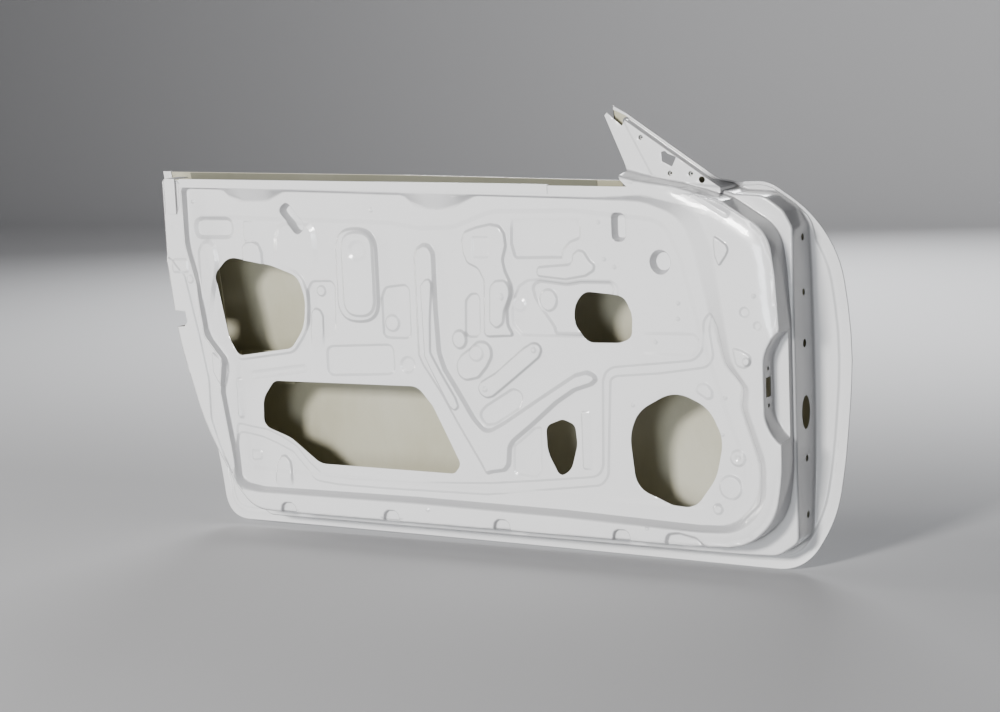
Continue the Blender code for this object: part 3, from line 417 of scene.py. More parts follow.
@dataclass
class Pressing:
    """One change of depth of a stamped sheet, between an outer and an inner line."""

    rings: list[np.ndarray]
    draw: float = 0.0
    level: DepthRule | None = None
    deepens_only: bool = False
    bend: WallBend = SOFT
    fade: Fade | None = None

    def near(self, points: np.ndarray) -> np.ndarray:
        """Indices of the points within the box of the outer line."""
        low, high = self.rings[0].min(axis=0) - 1e-6, self.rings[0].max(axis=0) + 1e-6
        return np.flatnonzero(((points >= low) & (points <= high)).all(axis=1))

    def place_in_wall(self, points: np.ndarray) -> tuple[np.ndarray, np.ndarray]:
        """Where each point stands across the wall.

        Args:
            points: rows of x and z.

        Returns:
            Plan distance from the outer line, and the local run of the wall.
        """
        outer, inner = self.rings[0], self.rings[-1]
        to_inner = nearest_distance(points, inner)
        to_outer = nearest_distance(points, outer)
        within = inside(points, inner) | (to_inner < 1e-7)
        beyond = ~inside(points, outer) & ~within & (to_outer > 1e-7)
        run = np.maximum(to_inner + to_outer, 1e-6)
        station = np.where(within, run, np.where(beyond, 0.0, to_outer))
        return station, run

    def apply(self, depth: np.ndarray, points: np.ndarray) -> np.ndarray:
        """Depth of the sheet after this pressing.

        Args:
            depth: depth before it.
            points: rows of x and z.

        Returns:
            Depth after it.
        """
        index = self.near(points)
        if len(index) == 0:
            return depth
        here, before = points[index], depth[index]
        station, run = self.place_in_wall(here)
        change = self.level(here) - before if self.level is not None else np.full(len(here), self.draw)
        if self.fade is not None:
            x0, z0, x1, z1 = (v * MM for v in self.fade)
            way = np.array((x1 - x0, z1 - z0))
            change = change * ease((here - (x0, z0)) @ way / (way @ way), 0.0, 1.0)
        if self.deepens_only:
            change = np.maximum(change, 0.0)
        height = np.abs(change)
        gained = self.bend.drop(station, run, height)
        after = before + np.sign(change) * np.minimum(gained, height)
        result = depth.copy()
        result[index] = after
        return result


def wall(outer: Sequence[Corner], inner: Sequence[Corner], bend: WallBend, run: float, height: float,
         level: DepthRule | None = None, deepens_only: bool = False) -> Pressing:
    """Pressing between two matched sets of corners.

    Args:
        outer: corners of the foot line.
        inner: as many corners of the top line.
        bend: section of the wall.
        run: usual plan width, for the mesh rings.
        height: usual depth, for the mesh rings.
        level: depth inside, or none.
        deepens_only: never lift the sheet towards the cabin.

    Returns:
        The pressing.
    """
    rings = [between(outer, inner, share) for share in bend.ring_shares(run, height)]
    return Pressing(rings, 0.0, level, deepens_only, bend)


def offset_wall(loop: np.ndarray, out: float, inward: float, bend: WallBend, height: float,
                level: DepthRule) -> Pressing:
    """Pressing that runs beside one line.

    Args:
        loop: anticlockwise line.
        out: plan distance outside the line.
        inward: plan distance inside it.
        bend: section of the wall.
        height: usual depth, for the mesh rings.
        level: depth inside.

    Returns:
        The pressing.
    """
    run = out + inward
    rings = [moved_in(loop, run * share - out) for share in bend.ring_shares(run, height, 5)]
    return Pressing(rings, 0.0, level, False, bend)


def pressed(loop: np.ndarray, way: Draw, height: float, run: float, bend: WallBend = SOFT,
            fade: Fade | None = None) -> Pressing:
    """Shallow pad with a soft wall inside its outline.

    Args:
        loop: outline in metres.
        way: raised or recessed.
        height: how far it is pressed, in stations.
        run: plan width of the wall, in stations.
        bend: section of the wall.
        fade: from x, z where it starts to x, z where it is whole, in stations.

    Returns:
        The pressing.
    """
    loop = anticlockwise(loop)
    rings = [moved_in(loop, run * MM * share) for share in bend.ring_shares(run * MM, height * MM, 2)]
    return Pressing(rings, way.value * height * MM, None, False, bend, fade)


def raised(loop: np.ndarray, height: float = 2.0, run: float = 4.0, bend: WallBend = SOFT,
           fade: Fade | None = None) -> Pressing:
    """Pad pressed towards the cabin."""
    return pressed(loop, Draw.RAISED, height * SHARES.raised, run * SHARES.run, bend, fade)


def sunk(loop: np.ndarray, height: float = 2.0, run: float = 4.0, bend: WallBend = SOFT,
         fade: Fade | None = None) -> Pressing:
    """Recess pressed towards the skin."""
    share = SHARES.sunk if height < SHARES.deepest else 1.0
    return pressed(loop, Draw.RECESSED, height * share, run * SHARES.run, bend, fade)


def shape(radius: float, *points: tuple[float, float]) -> np.ndarray:
    """Closed outline in stations with one radius on every corner."""
    return outline(corners(*[(x, z, radius * SHARES.corner) for x, z in points]))


def body_skin(points: np.ndarray) -> np.ndarray:
    """Inner face of the outer skin below the belt."""
    x, z = points[:, 0], points[:, 1]
    top = np.maximum(z, 0.0) / SIZES.skin_top_reach
    bottom = np.maximum(-z, 0.0) / SIZES.skin_bottom_reach
    end = (x - SIZES.skin_middle) / SIZES.skin_half_length
    crown = SIZES.skin_crest - SIZES.skin_top_drop * top ** SIZES.skin_curve_power
    return crown - SIZES.skin_bottom_drop * bottom ** SIZES.skin_curve_power - SIZES.skin_end_drop * end * end


def skin_depth(points: np.ndarray) -> np.ndarray:
    """Inner face of the outer skin, with the sail set inboard of the belt."""
    x, z = points[:, 0], points[:, 1]
    share = ease(z, *SAIL_RISE) * ease(x, *SAIL_REAR) * (1.0 - ease(x, *SAIL_FRONT))
    return body_skin(points) * (1 - share) + SIZES.sail_skin_depth * share


def ledge_level(points: np.ndarray) -> np.ndarray:
    """Seal ledge: shallow round the front and the sill, deeper behind the latch face."""
    share = ease(-points[:, 0], *REAR_LEDGE_TURN)
    return SIZES.ledge_depth * (1 - share) + SIZES.rear_ledge_depth * share


def level_at(depth: float) -> DepthRule:
    """The same depth everywhere."""
    return lambda points: np.full(len(points), depth)


# Outer edge of the whole door, where the skin is folded.
DOOR_CORNERS = corners(
    (-1098, -298, 60), (-100, -306, 0), (-8, -306, 900), (38, -225, 900), (49, -140, 900), (56, -60, 900),
    (62, 20, 900), (57, 105, 900), (46, 180, 900), (6, 246, 900), (-58, 292, 900), (-97, 291, 0),
    (-104, 288, 0), (-110, 294, 0), (-124, 303.7, 0), (-268, 402, 5), (-290, 414, 5), (-299, 411, 4),
    (-264.5, 303.5, 0), (-262, 295, 0), (-304, 296, 0), (-700, 309, 0), (-1196, 321, 0), (-1197, 304, 0),
    (-1202, 190, 900), (-1190, 40, 900), (-1152, -105, 900))

# Deep wall from the seal ledge to the rim: its top and its foot.
RIM_TOP = corners(
    (-1002, -212, 60), (-968, -249, 60), (-890, -251, 0), (-480, -252, 0), (-136, -253, 300),
    (-66, -248, 300), (-20, -206, 300), (-8, -140, 300), (-8, 84, 10), (-13, 165, 90), (-24, 224, 90),
    (-92, 268, 8), (-118, 277, 6), (-170, 289, 10), (-235, 299, 10), (-262, 306, 0), (-300, 318, 0),
    (-1122, 334, 0), (-1121, 180, 400), (-1105, 40, 400), (-1062, -105, 400))

RIM_FOOT = corners(
    (-1006, -226, 60), (-972, -265, 60), (-890, -265, 0), (-480, -266, 0), (-138, -267, 300),
    (-68, -261, 300), (-14, -214, 300), (-3, -144, 300), (-3, 86, 0), (-8, 165, 90), (-15, 228, 90),
    (-90, 275, 4), (-116, 284, 6), (-168, 300, 10), (-232, 312, 10), (-262, 320, 0), (-300, 332, 0),
    (-1139, 346, 0), (-1139, 180, 400), (-1123, 36, 400), (-1078, -112, 400))

# Seal ledge, and on the front side the line of the upright hinge face.
LEDGE_TOP = corners(
    (-1012, -240, 34), (-978, -276, 34), (-890, -276, 0), (-480, -277, 0), (-100, -278, 60), (-34, -276, 40),
    (0, -252, 20), (0, 228, 20), (-14, 254, 30), (-44, 276, 40), (-92, 279, 3), (-114, 286, 4),
    (-168, 302, 10), (-232, 314, 10), (-262, 322, 0), (-300, 336, 0), (-1156, 352, 0), (-1151, 180, 400),
    (-1135, 32, 400), (-1088, -118, 400))

# Slope from the rim down to the field, from its edge to its foot, and the soft step inside it.
FIELD_EDGE = corners(
    (-1010, -222, 85), (-960, -226, 50), (-650, -226, 0), (-380, -230, 0), (-140, -238, 100),
    (-78, -236, 120), (-30, -192, 120), (-27, -120, 100), (-55, -40, 50), (-52, -8, 16), (-80, 30, 60),
    (-92, 105, 75), (-108, 206, 100), (-132, 262, 75), (-220, 284, 100), (-300, 280, 0), (-480, 285, 0),
    (-700, 291, 0), (-1086, 303, 12), (-1086, 200, 100), (-1066, 130, 50), (-1056, 44, 50), (-1020, 4, 16),
    (-1030, -52, 50), (-1014, -150, 75))

FIELD = corners(
    (-1000, -206, 75), (-956, -216, 50), (-650, -213, 0), (-380, -217, 0), (-150, -225, 75),
    (-92, -222, 120), (-52, -180, 120), (-49, -130, 100), (-80, -36, 50), (-74, -8, 16), (-104, 24, 60),
    (-122, 96, 75), (-146, 196, 100), (-166, 246, 90), (-226, 268, 100), (-300, 272, 0), (-514, 279, 12),
    (-560, 258, 12), (-622, 258, 12), (-650, 281, 12), (-880, 288, 12), (-914, 272, 12), (-984, 272, 12),
    (-1006, 292, 12), (-1080, 296, 10), (-1079, 200, 100), (-1059, 130, 50), (-1049, 46, 50), (-1012, 2, 14),
    (-1023, -52, 50), (-1006, -150, 75))

SHOULDER = corners(
    (-990, -190, 75), (-650, -198, 0), (-330, -200, 0), (-120, -205, 120), (-70, -170, 120),
    (-66, -125, 100), (-98, -36, 75), (-128, 60, 75), (-162, 190, 100), (-190, 246, 75), (-345, 262, 75),
    (-490, 261, 75), (-560, 236, 50), (-622, 234, 50), (-676, 243, 50), (-1060, 254, 10), (-1058, 200, 100),
    (-1040, 120, 50), (-1026, 50, 50), (-998, 0, 14), (-1008, -52, 50), (-990, -140, 75))

# Access holes of the field.
REAR_ACCESS = corners(
    (-992, 10, 15), (-1012, 40, 70), (-1034, 150, 26), (-1004, 180, 34), (-918, 166, 90), (-862, 148, 34),
    (-849, 110, 70), (-854, 62, 70), (-882, 26, 22))
LOWER_ACCESS = corners(
    (-838, -170, 40), (-896, -128, 60), (-950, -110, 20), (-948, -62, 40), (-924, -31, 18), (-640, -30, 30),
    (-612, -62, 60), (-564, -156, 14), (-577, -172, 12))
MIRROR_WIRING = corners(
    (-352, 76, 40), (-350, 110, 40), (-332, 131, 22), (-262, 125, 22), (-249, 96, 40), (-251, 60, 18),
    (-272, 52, 30), (-324, 51, 24))
HANDLE_SMALL = corners(
    (-406, -84, 16), (-405, -126, 60), (-384, -166, 12), (-363, -153, 30), (-351, -112, 40), (-354, -80, 14),
    (-376, -72, 16))
SPEAKER = corners(
    (-262, -92, 90), (-246, -54, 60), (-184, -19, 60), (-128, -44, 60), (-105, -92, 60), (-118, -152, 80),
    (-154, -201, 40), (-192, -199, 40), (-253, -176, 40))

# Open edges of the panel, small holes and plate of the sail, then the latch notch and check pocket.
BELT_EDGE = ((-256, 304), (-245, 294), (-700, 304), (-1121, 313), (-1129, 305))
SAIL_TIP = ((-262, 396), (-269, 384), (-294, 405), (-298, 401))
SAIL_SCREWS = ((-237, 366), (-190, 311), (-156, 310))
SAIL_CONNECTOR = (-138, 301)
SAIL_PLATE = corners(
    (-110, 282), (-110.3, 288.2), (-271.2, 397.2), (-336, 441), (-330, 290), (-130, 268))
SAIL_PLATE_FOOT = corners(
    (-108, 280), (-108.7, 290.4), (-269.7, 399.6), (-342, 449), (-340, 284), (-128, 262))
SAIL_WINDOW = corners(
    (-204, 344, 2), (-197, 345, 2), (-193, 341, 1), (-179, 336, 2), (-186, 321, 2), (-203, 329, 2))
LATCH_NOTCH = corners((-1121, 88, 3), (-1088, 86, 3), (-1086, 70, 3), (-1094, 60, 3), (-1118, 58, 3))
CHECK_POCKET = corners((-2, -99), (-2, 87), (-20, 69, 60), (-34.5, 42, 60), (-34.5, -58, 60), (-20, -84, 60))
CHECK_POCKET_FLOOR = corners(
    (-3, -86), (-3, 74), (-14, 60, 50), (-27, 37, 50), (-27, -53, 50), (-14, -75, 50))


def flat_triangles(loops: Sequence[np.ndarray], spots: np.ndarray) -> tuple[np.ndarray, np.ndarray]:
    """Triangles that keep every loop as edges.

    Args:
        loops: closed loops in rows of x and z.
        spots: loose points that steady the wide flats.

    Returns:
        Points, and triangles as rows of three indices.
    """
    points: list[Vector] = []
    edges: list[tuple[int, int]] = []
    for loop in loops:
        first, count = len(points), len(loop)
        points.extend(Vector(p) for p in loop)
        edges.extend((first + k, first + (k + 1) % count) for k in range(count))
    points.extend(Vector(p) for p in spots)
    verts, _, faces, _, _, _ = delaunay_2d_cdt(points, edges, [], 0, 1e-6)
    return np.array([tuple(v) for v in verts]), np.array([tuple(f) for f in faces])


def kept_triangles(points: np.ndarray, faces: np.ndarray, edge: np.ndarray,
                   holes: Sequence[np.ndarray]) -> np.ndarray:
    """Triangles whose middle is inside the edge and outside every hole."""
    a, b, c = points[faces[:, 0]], points[faces[:, 1]], points[faces[:, 2]]
    along, across = b - a, c - a
    area = np.abs(along[:, 0] * across[:, 1] - across[:, 0] * along[:, 1]) / 2
    middle = (a + b + c) / 3
    keep = inside(middle, edge) & (area > STEPS.smallest_area)
    for hole in holes:
        keep &= ~inside(middle, hole)
    return faces[keep]


def mark_steepness(mesh: bpy.types.Mesh) -> None:
    """Stores on every point how steep the pressed sheet is there, from 0 on flats to 1 on walls, for the
    painted shade on the walls.
    """
    normals = np.zeros(len(mesh.vertices) * 3)
    mesh.vertices.foreach_get("normal", normals)
    lean = np.degrees(np.arccos(np.clip(np.abs(normals.reshape(-1, 3)[:, 1]), 0, 1)))
    steepness = mesh.attributes.new("steepness", "FLOAT", "POINT")
    steepness.data.foreach_set("value", ease(lean, *WALL_LEAN).astype(np.float32))


def clean_sheet(mesh: bpy.types.Mesh) -> None:
    """Joins close points, closes slits of a triangle and drops flaps and loose points."""
    bm = bmesh.new()
    bm.from_mesh(mesh)
    bmesh.ops.delete(bm, geom=[v for v in bm.verts if not v.link_faces], context="VERTS")
    bmesh.ops.remove_doubles(bm, verts=bm.verts, dist=STEPS.joined_below)
    bmesh.ops.dissolve_degenerate(bm, dist=STEPS.joined_below / 2, edges=bm.edges)
    bmesh.ops.holes_fill(bm, edges=[edge for edge in bm.edges if edge.is_boundary], sides=3)
    flaps = [face for face in bm.faces if any(len(edge.link_faces) > 2 for edge in face.edges)
             and any(edge.is_boundary for edge in face.edges)]
    bmesh.ops.delete(bm, geom=flaps, context="FACES_ONLY")
    bmesh.ops.delete(bm, geom=[v for v in bm.verts if not v.link_faces], context="VERTS")
    bm.to_mesh(mesh)
    bm.free()


def grid_spots(edge: np.ndarray) -> np.ndarray:
    """Even loose points inside an edge, which keep the triangles of wide flats short."""
    spots = np.array([(x * MM, z * MM) for x in range(*STEPS.grid_x, STEPS.grid)
                      for z in range(*STEPS.grid_z, STEPS.grid)])
    return spots[inside(spots, edge)]


def sheet_object(name: str, points: np.ndarray, faces: Sequence[Sequence[int]],
                 thickness: float) -> bpy.types.Object:
    """Mesh object of a thin sheet whose given faces look out of its front.

    Args:
        name: object name.
        points: rows of x, y and z.
        faces: front faces.
        thickness: sheet thickness, laid behind the front.

    Returns:
        The object, smooth shaded, with its thickness and its normals finished by modifiers.
    """
    mesh = bpy.data.meshes.new(name)
    mesh.from_pydata([tuple(p) for p in points], [], [tuple(int(i) for i in f) for f in faces])
    clean_sheet(mesh)
    mesh.shade_smooth()
    obj = bpy.data.objects.new(name, mesh)
    bpy.context.scene.collection.objects.link(obj)
    # The steepness drives the painted shade on the walls of the pressings.
    mark_steepness(mesh)
    solid = obj.modifiers.new("sheet", "SOLIDIFY")
    solid.thickness = thickness
    solid.offset = -1.0
    solid.use_even_offset = False
    normals = obj.modifiers.new("flat normals", "WEIGHTED_NORMAL")
    normals.mode = "FACE_AREA"
    normals.weight = 60
    return obj


@dataclass
class InnerPanel:
    """Stamped inner panel: rim, seal ledge, field, pads, access holes, hinge and latch faces."""

    hinge_out: float = 0.0052
    hinge_in: float = 0.0040
    hinge_hole_radius: float = 0.0055
    locating_hole_radius: float = 0.0065
    harness_hole: tuple[float, float] = (0.017, 0.026)
    hinge_hole_heights: tuple[float, ...] = (210, 127, -128, -216)
    locating_hole_height: float = 49
    harness_hole_height: float = -57
    check_centre: float = -8
    check_slot: tuple[float, float] = (0.020, 0.030)
    check_bolt_radius: float = 0.0035
    check_bolt_spacing: float = 56
    sail_screw_radius: float = 4.0
    sail_connector_radius: float = 5.2
    crown_widths: tuple[float, ...] = (3, 7, 12, 18, 25, 32)
    crown_fall: tuple[float, float, float] = (0.0008, 0.0056, 0.0020)
    crown_reach: tuple[float, float, float] = (0.010, 0.024, 0.008)
    crown_front: tuple[float, float] = (-0.200, -0.110)
    crown_above: tuple[float, float] = (0.030, 0.120)
    crown_below: tuple[float, float] = (0.100, 0.180)
    hem_narrowing: float = 0.8
    narrow_above: tuple[float, float] = (0.205, 0.245)
    narrow_ahead: tuple[float, float] = (-0.330, -0.270)
    joggle_start: float = 0.004
    joggle_run: float = 0.006
    steps_before_crown: int = 4
    belt_above: float = 0.284
    belt_span: tuple[float, float] = (-1.195, -0.255)
    corner_above: float = 0.306
    corner_behind: float = -1.180

    def __post_init__(self) -> None:
        """Works out the edge, the holes and the pressings."""
        self.hem = traced(DOOR_CORNERS)
        self.edge = self.panel_edge()
        self.ledge = traced(LEDGE_TOP)
        self.rim = traced(RIM_TOP)
        self.steps = self.pressings()
        self.holes = [traced(hole) for hole in (REAR_ACCESS, LOWER_ACCESS, MIRROR_WIRING, HANDLE_SMALL,
                                                SPEAKER, SAIL_WINDOW, LATCH_NOTCH)]
        self.holes += [ellipse(x, z, self.sail_screw_radius, count=18) for x, z in SAIL_SCREWS]
        self.holes.append(ellipse(*SAIL_CONNECTOR, self.sail_connector_radius, count=20))
        self.holes += self.hinge_face_holes() + self.check_face_holes()

    def hem_band(self, width: float) -> np.ndarray:
        """Line inside the hem: narrow round the sail and the top front corner."""
        share = ease(self.hem[:, 1], *self.narrow_above) * ease(self.hem[:, 0], *self.narrow_ahead)
        reach = width * (1 - self.hem_narrowing * share)
        return self.hem + (moved_in(self.hem, 1.0) - self.hem) * reach[:, None]

    def panel_edge(self) -> np.ndarray:
        """Edge of the panel: just inside the hem, but lower along the belt and notched at the sail tip."""
        kept: list[tuple[float, float]] = []
        for x, z in moved_in(self.hem, SIZES.edge_setback):
            belt = z > self.belt_above and self.belt_span[0] < x < self.belt_span[1]
            rear_corner = z > self.corner_above and x < self.corner_behind
            if not belt and not rear_corner:
                kept.append((x, z))
        start = max(range(len(kept)), key=lambda i: math.dist(kept[i], kept[i - 1]))
        kept = kept[start:] + kept[:start]
        closed = np.array(kept + [(x * MM, z * MM) for x, z in SAIL_TIP + BELT_EDGE])
        pieces = []
        for p, q in zip(closed, np.roll(closed, -1, axis=0)):
            parts = max(1, math.ceil(np.linalg.norm(q - p) / STEPS.open_side))
            pieces += [p + (q - p) * k / parts for k in range(parts)]
        return np.array(pieces)

    def pressings(self) -> list[Pressing]:
        """Every change of depth, from the hem inward."""
        joggle = [self.hem_band(SIZES.hem_width + self.joggle_start + self.joggle_run * t)
                  for t in (0, 0.25, 0.5, 0.75, 1)]
        return [
            Pressing(joggle, draw=-SIZES.hem_joggle),
            offset_wall(self.ledge, self.hinge_out, self.hinge_in, UPRIGHT, 0.080, ledge_level),
            wall(SAIL_PLATE_FOOT, SAIL_PLATE, CRISP, run=0.003, height=0.016,
                 level=level_at(SIZES.sail_depth)),
            wall(RIM_FOOT, RIM_TOP, WallBend(0.004, 0.006), run=0.012, height=0.052,
                 level=level_at(SIZES.rim_depth)),
            wall(CHECK_POCKET, CHECK_POCKET_FLOOR, UPRIGHT, run=0.0075, height=0.038,
                 level=level_at(SIZES.check_pocket_depth), deepens_only=True),
            *self.field_steps(),
            *self.rim_pads(),
            *self.field_pads(),
            *self.lower_contours(),
        ]

    def field_steps(self) -> list[Pressing]:
        """The drop from the rim to the field and the soft second drop inside it."""
        soft = [moved_in(traced(SHOULDER), 0.010 * t) for t in WIDE.ring_shares(0.010, 0.005, 2)]
        rings = self.mid_rings(traced(FIELD_EDGE), traced(FIELD))
        return [Pressing(rings, SIZES.field_draw, bend=WallBend(0.006, 0.006)),
                Pressing(soft, SIZES.shoulder_draw, bend=WIDE)]

    @staticmethod
    def mid_rings(outer: np.ndarray, inner: np.ndarray) -> list[np.ndarray]:
        """Rings between two lines, each outer point heading for its nearest inner one."""
        gap = outer[:, None, :] - inner[None, :, :]
        nearest = inner[(gap ** 2).sum(axis=2).argmin(axis=1)]
        middles = [outer + (nearest - outer) * share for share in (0.1, 0.2, 0.35, 0.65, 0.8, 0.9)]
        return [outer, *middles, inner]

    def rim_pads(self) -> list[Pressing]:
        """Embosses, drains and steps of the rim."""
        pads = [
            sunk(shape(8, (-1130, 180), (-1112, 172), (-1090, 147), (-1077, 90), (-1066, 40), (-1052, -32),
                (-1052, -100), (-1036, -150), (-1013, -200), (-1006, -180), (-1010, -150), (-1026, -52),
                (-1018, 2), (-1053, 45), (-1062, 130), (-1082, 200), (-1084, 312), (-1140, 315)), 1.8, 3.0),
            sunk(shape(3, (-1122, 330), (-1122, 254), (-1096, 253), (-1090, 268), (-1090, 330)), 1.6, 2.6,
                CRISP),
            raised(shape(8, (-1042, 20), (-1026, 10), (-1012, -2), (-1013, -19), (-1022, -49), (-1034, -32),
                (-1042, -18)), 1.6, 3.0),
            raised(block(-1096, 165, 36, 28, 8), 1.5, 4.0),
            raised(ellipse(-1077, 142, 9), 1.2, 3.0),
            raised(ellipse(-1070, 274, 4.5), 1.0, 2.5, CRISP),
            sunk(ellipse(-1105, 232, 9), 0.9, 4.0),
            raised(shape(7, (-82, 55), (-64, 51), (-47, 42), (-49, 26), (-61, 19), (-76, 24)), 1.4, 3.6),
            sunk(ellipse(-59, 106, 9.5), 1.4, 3.0),
            sunk(ellipse(-39, 86, 8), 1.2, 3.0),
            raised(ellipse(-57, 32, 8), 1.2, 3.0),
            raised(ellipse(-44, 131, 5), 1.0, 3.0),
            raised(shape(6, (-108, 226), (-83, 208), (-79, 199), (-84, 189), (-98, 170), (-106, 190)), 1.8,
                3.2),
            raised(slot(-134, 281, -86, 253, 15), 1.4, 5.0),
            raised(shape(4, (-267, 388), (-222, 305), (-172, 292), (-96, 286), (-90, 320), (-262, 430)), 1.6,
                4.0),
            sunk(shape(8, (-204, -262), (-122, -264), (-146, -241), (-176, -235), (-198, -238)), 4.5, 5.0),
        ]
        for x, z in ((-899, -251), (-694, -251), (-486, -252), (-274, -253)):
            pads.append(sunk(shape(5, (x - 19, z - 9), (x + 19, z - 9), (x + 15, z + 9), (x + 8, z + 15),
                                   (x - 8, z + 15), (x - 15, z + 9)), 6.0, 3.4))
        return pads

    def field_pads(self) -> list[Pressing]:
        """Clip pockets, stiffening pads, ribs, recesses and dimples of the field."""
        rear = [
            sunk(slot(-879, 258, -857, 232, 26), 15, 4.5, CRISP),
            sunk(block(-1030, 229, 84, 41, 20), 3.6, 6.0),
            raised(shape(12, (-912, 150), (-911, 190), (-909, 212), (-901, 232), (-886, 243), (-838, 243),
                (-823, 228), (-819, 195), (-821, 150)), 2.2, 7.0, SOFT, (-865, 158, -865, 205)),
            raised(shape(8, (-977, 150), (-975, 199), (-966, 208), (-949, 210), (-936, 203), (-930, 188),
                (-929, 150)), 2.2, 4.5),
            raised(shape(4, (-970, 205), (-970, 243), (-938, 243), (-938, 205)), 1.3, 3.0, CRISP,
                (-940, 0, -962, 0)),
            raised(shape(10, (-1066, 30), (-1067, 190), (-1056, 208), (-1040, 212), (-1027, 199),
                (-1022, 172), (-1045, 60), (-1040, 30)), 2.4, 6.0, SOFT, (0, 50, 0, 130)),
            raised(moved_in(traced(REAR_ACCESS), -0.010), 1.8, 4.0, SOFT, (-990, 100, -920, 40)),
            raised(slot(-744.5, 189, -744.5, 114, 86), 3.0, 5.0),
            raised(slot(-740.5, 193, -740.5, 114, 66), 2.2, 4.5),
            sunk(ellipse(-739, 192, 19), 1.6, 5.0),
            raised(ellipse(-711, 259, 5), 0.9, 2.6, CRISP),
            sunk(shape(8, (-851, 44), (-847, 128), (-838, 143), (-796, 144), (-788, 134), (-791, 44)), 2.2,
                4.0, SOFT, (0, 46, 0, 75)),
            raised(ellipse(-819, 124, 11), 1.6, 3.4),
            raised(shape(7, (-846, 20), (-843, 88), (-834, 98), (-821, 94), (-815, 82), (-815, 20)), 2.0,
                3.6, SOFT, (0, 22, 0, 60)),
            sunk(shape(10, (-816, 34), (-680, 41), (-679, -14), (-816, -21)), 2.0, 4.0),
            sunk(ellipse(-656, 5, 16), 1.7, 4.0),
            sunk(shape(9, (-703, 46), (-703, 117), (-695, 135), (-653, 140), (-644, 131), (-645, 46)), 2.2,
                4.0),
            raised(ellipse(-683, 73, 16), 1.7, 4.0),
        ]
        middle = [
            raised(shape(10, (-637, 183), (-632, 199), (-616, 208), (-601, 204), (-593, 189), (-593, 100),
                (-590, 28), (-581, 2), (-562, -27), (-532, -75), (-513, -96), (-480, -78), (-413, -35),
                (-352, 3), (-330, 9), (-314, 4), (-309, -8), (-320, -18), (-350, -28), (-382, -49),
                (-428, -88), (-460, -113), (-467, -122), (-470, -152), (-480, -164), (-504, -168),
                (-518, -172), (-530, -151), (-566, -94), (-600, -37), (-628, 3), (-637, 21)), 3.6, 6.0),
            raised(shape(6, (-624, 138), (-613, 149), (-603, 150), (-598, 140), (-604, 80), (-606, 28),
                (-588, -4), (-563, -44), (-557, -61), (-568, -69), (-578, -62), (-611, -2), (-622, 21)), 1.9,
                3.6),
            sunk(shape(8, (-469, -168), (-467, -118), (-458, -112), (-428, -87), (-412, -84), (-414, -159),
                (-424, -171)), 1.4, 3.6),
            raised(shape(8, (-547, 211), (-541, 226), (-517, 234), (-491, 239), (-473, 236), (-463, 222),
                (-461, 201), (-468, 179), (-464, 162), (-454, 141), (-452, 127), (-463, 99), (-463, 77),
                (-452, 56), (-513, 52), (-511, 100), (-509, 145), (-518, 163), (-538, 172), (-545, 189)),
                2.6, 4.5),
            sunk(shape(3, (-526, 181), (-525, 218), (-493, 218), (-493, 181)), 1.3, 3.4),
            raised(shape(9, (-500, 78), (-497, 137), (-486, 149), (-464, 150), (-456, 135), (-457, 119),
                (-467, 99), (-470, 77), (-485, 66)), 2.0, 4.0),
            raised(ellipse(-473, 121, 5, 7), 1.0, 2.8, CRISP),
            sunk(shape(8, (-548, 52), (-545, 114), (-534, 127), (-519, 127), (-514, 118), (-516, 52)), 2.0,
                3.6),
            sunk(shape(6, (-457, 250), (-330, 250), (-331, 212), (-351, 205), (-363, 193), (-363, 181),
                (-452, 179), (-459, 205)), 2.6, 4.5, SOFT, (0, 250, 0, 228)),
            raised(shape(6, (-414, 152), (-413, 171), (-351, 176), (-350, 190), (-338, 199), (-326, 196),
                (-316, 180), (-308, 175), (-308, 163), (-325, 153), (-361, 147)), 1.9, 4.0),
            sunk(shape(10, (-447, 140), (-456, 120), (-461, 99), (-461, 76), (-444, 57), (-356, 57),
                (-268, 58), (-270, 142), (-282, 151), (-337, 151), (-361, 147), (-408, 152), (-430, 150)),
                1.6, 4.0),
            sunk(shape(8, (-425, 135), (-420, 145), (-408, 149), (-361, 144), (-337, 148), (-284, 148),
                (-278, 140), (-280, 64), (-300, 60), (-386, 61), (-388, 72), (-411, 103), (-421, 119)), 2.2,
                4.5),
            raised(ellipse(-395, 116, 18, 20), 1.8, 4.0),
            raised(ellipse(-445, 108, 13), 0.9, 4.0),
            raised(ellipse(-556, 50, 16, 18), 2.4, 4.5),
            raised(shape(11, (-566, 11), (-557, 26), (-539, 38), (-526, 50), (-508, 51), (-495, 40),
                (-495, 22), (-505, 5), (-522, -14), (-549, -20), (-564, -9)), 2.4, 4.5),
            raised(ellipse(-525, 29, 15), 1.2, 3.4),
            raised(shape(9, (-529, -28), (-523, -40), (-511, -47), (-497, -43), (-464, -18), (-410, 24),
                (-404, 39), (-412, 50), (-425, 51), (-442, 41), (-495, -1), (-522, -16)), 2.4, 4.0),
            raised(ellipse(-512, -29, 6), 1.0, 2.8, CRISP),
            raised(ellipse(-421, 37, 6), 1.1, 2.8, CRISP),
            sunk(shape(9, (-528, -75), (-525, -64), (-514, -54), (-464, -24), (-448, -28), (-442, -42),
                (-450, -60), (-496, -88), (-516, -92)), 2.0, 4.0),
            raised(shape(4, (-344, -56), (-344, -152), (-322, -152), (-322, -56)), 1.4, 3.0, CRISP,
                (-324, 0, -339, 0)),
        ]
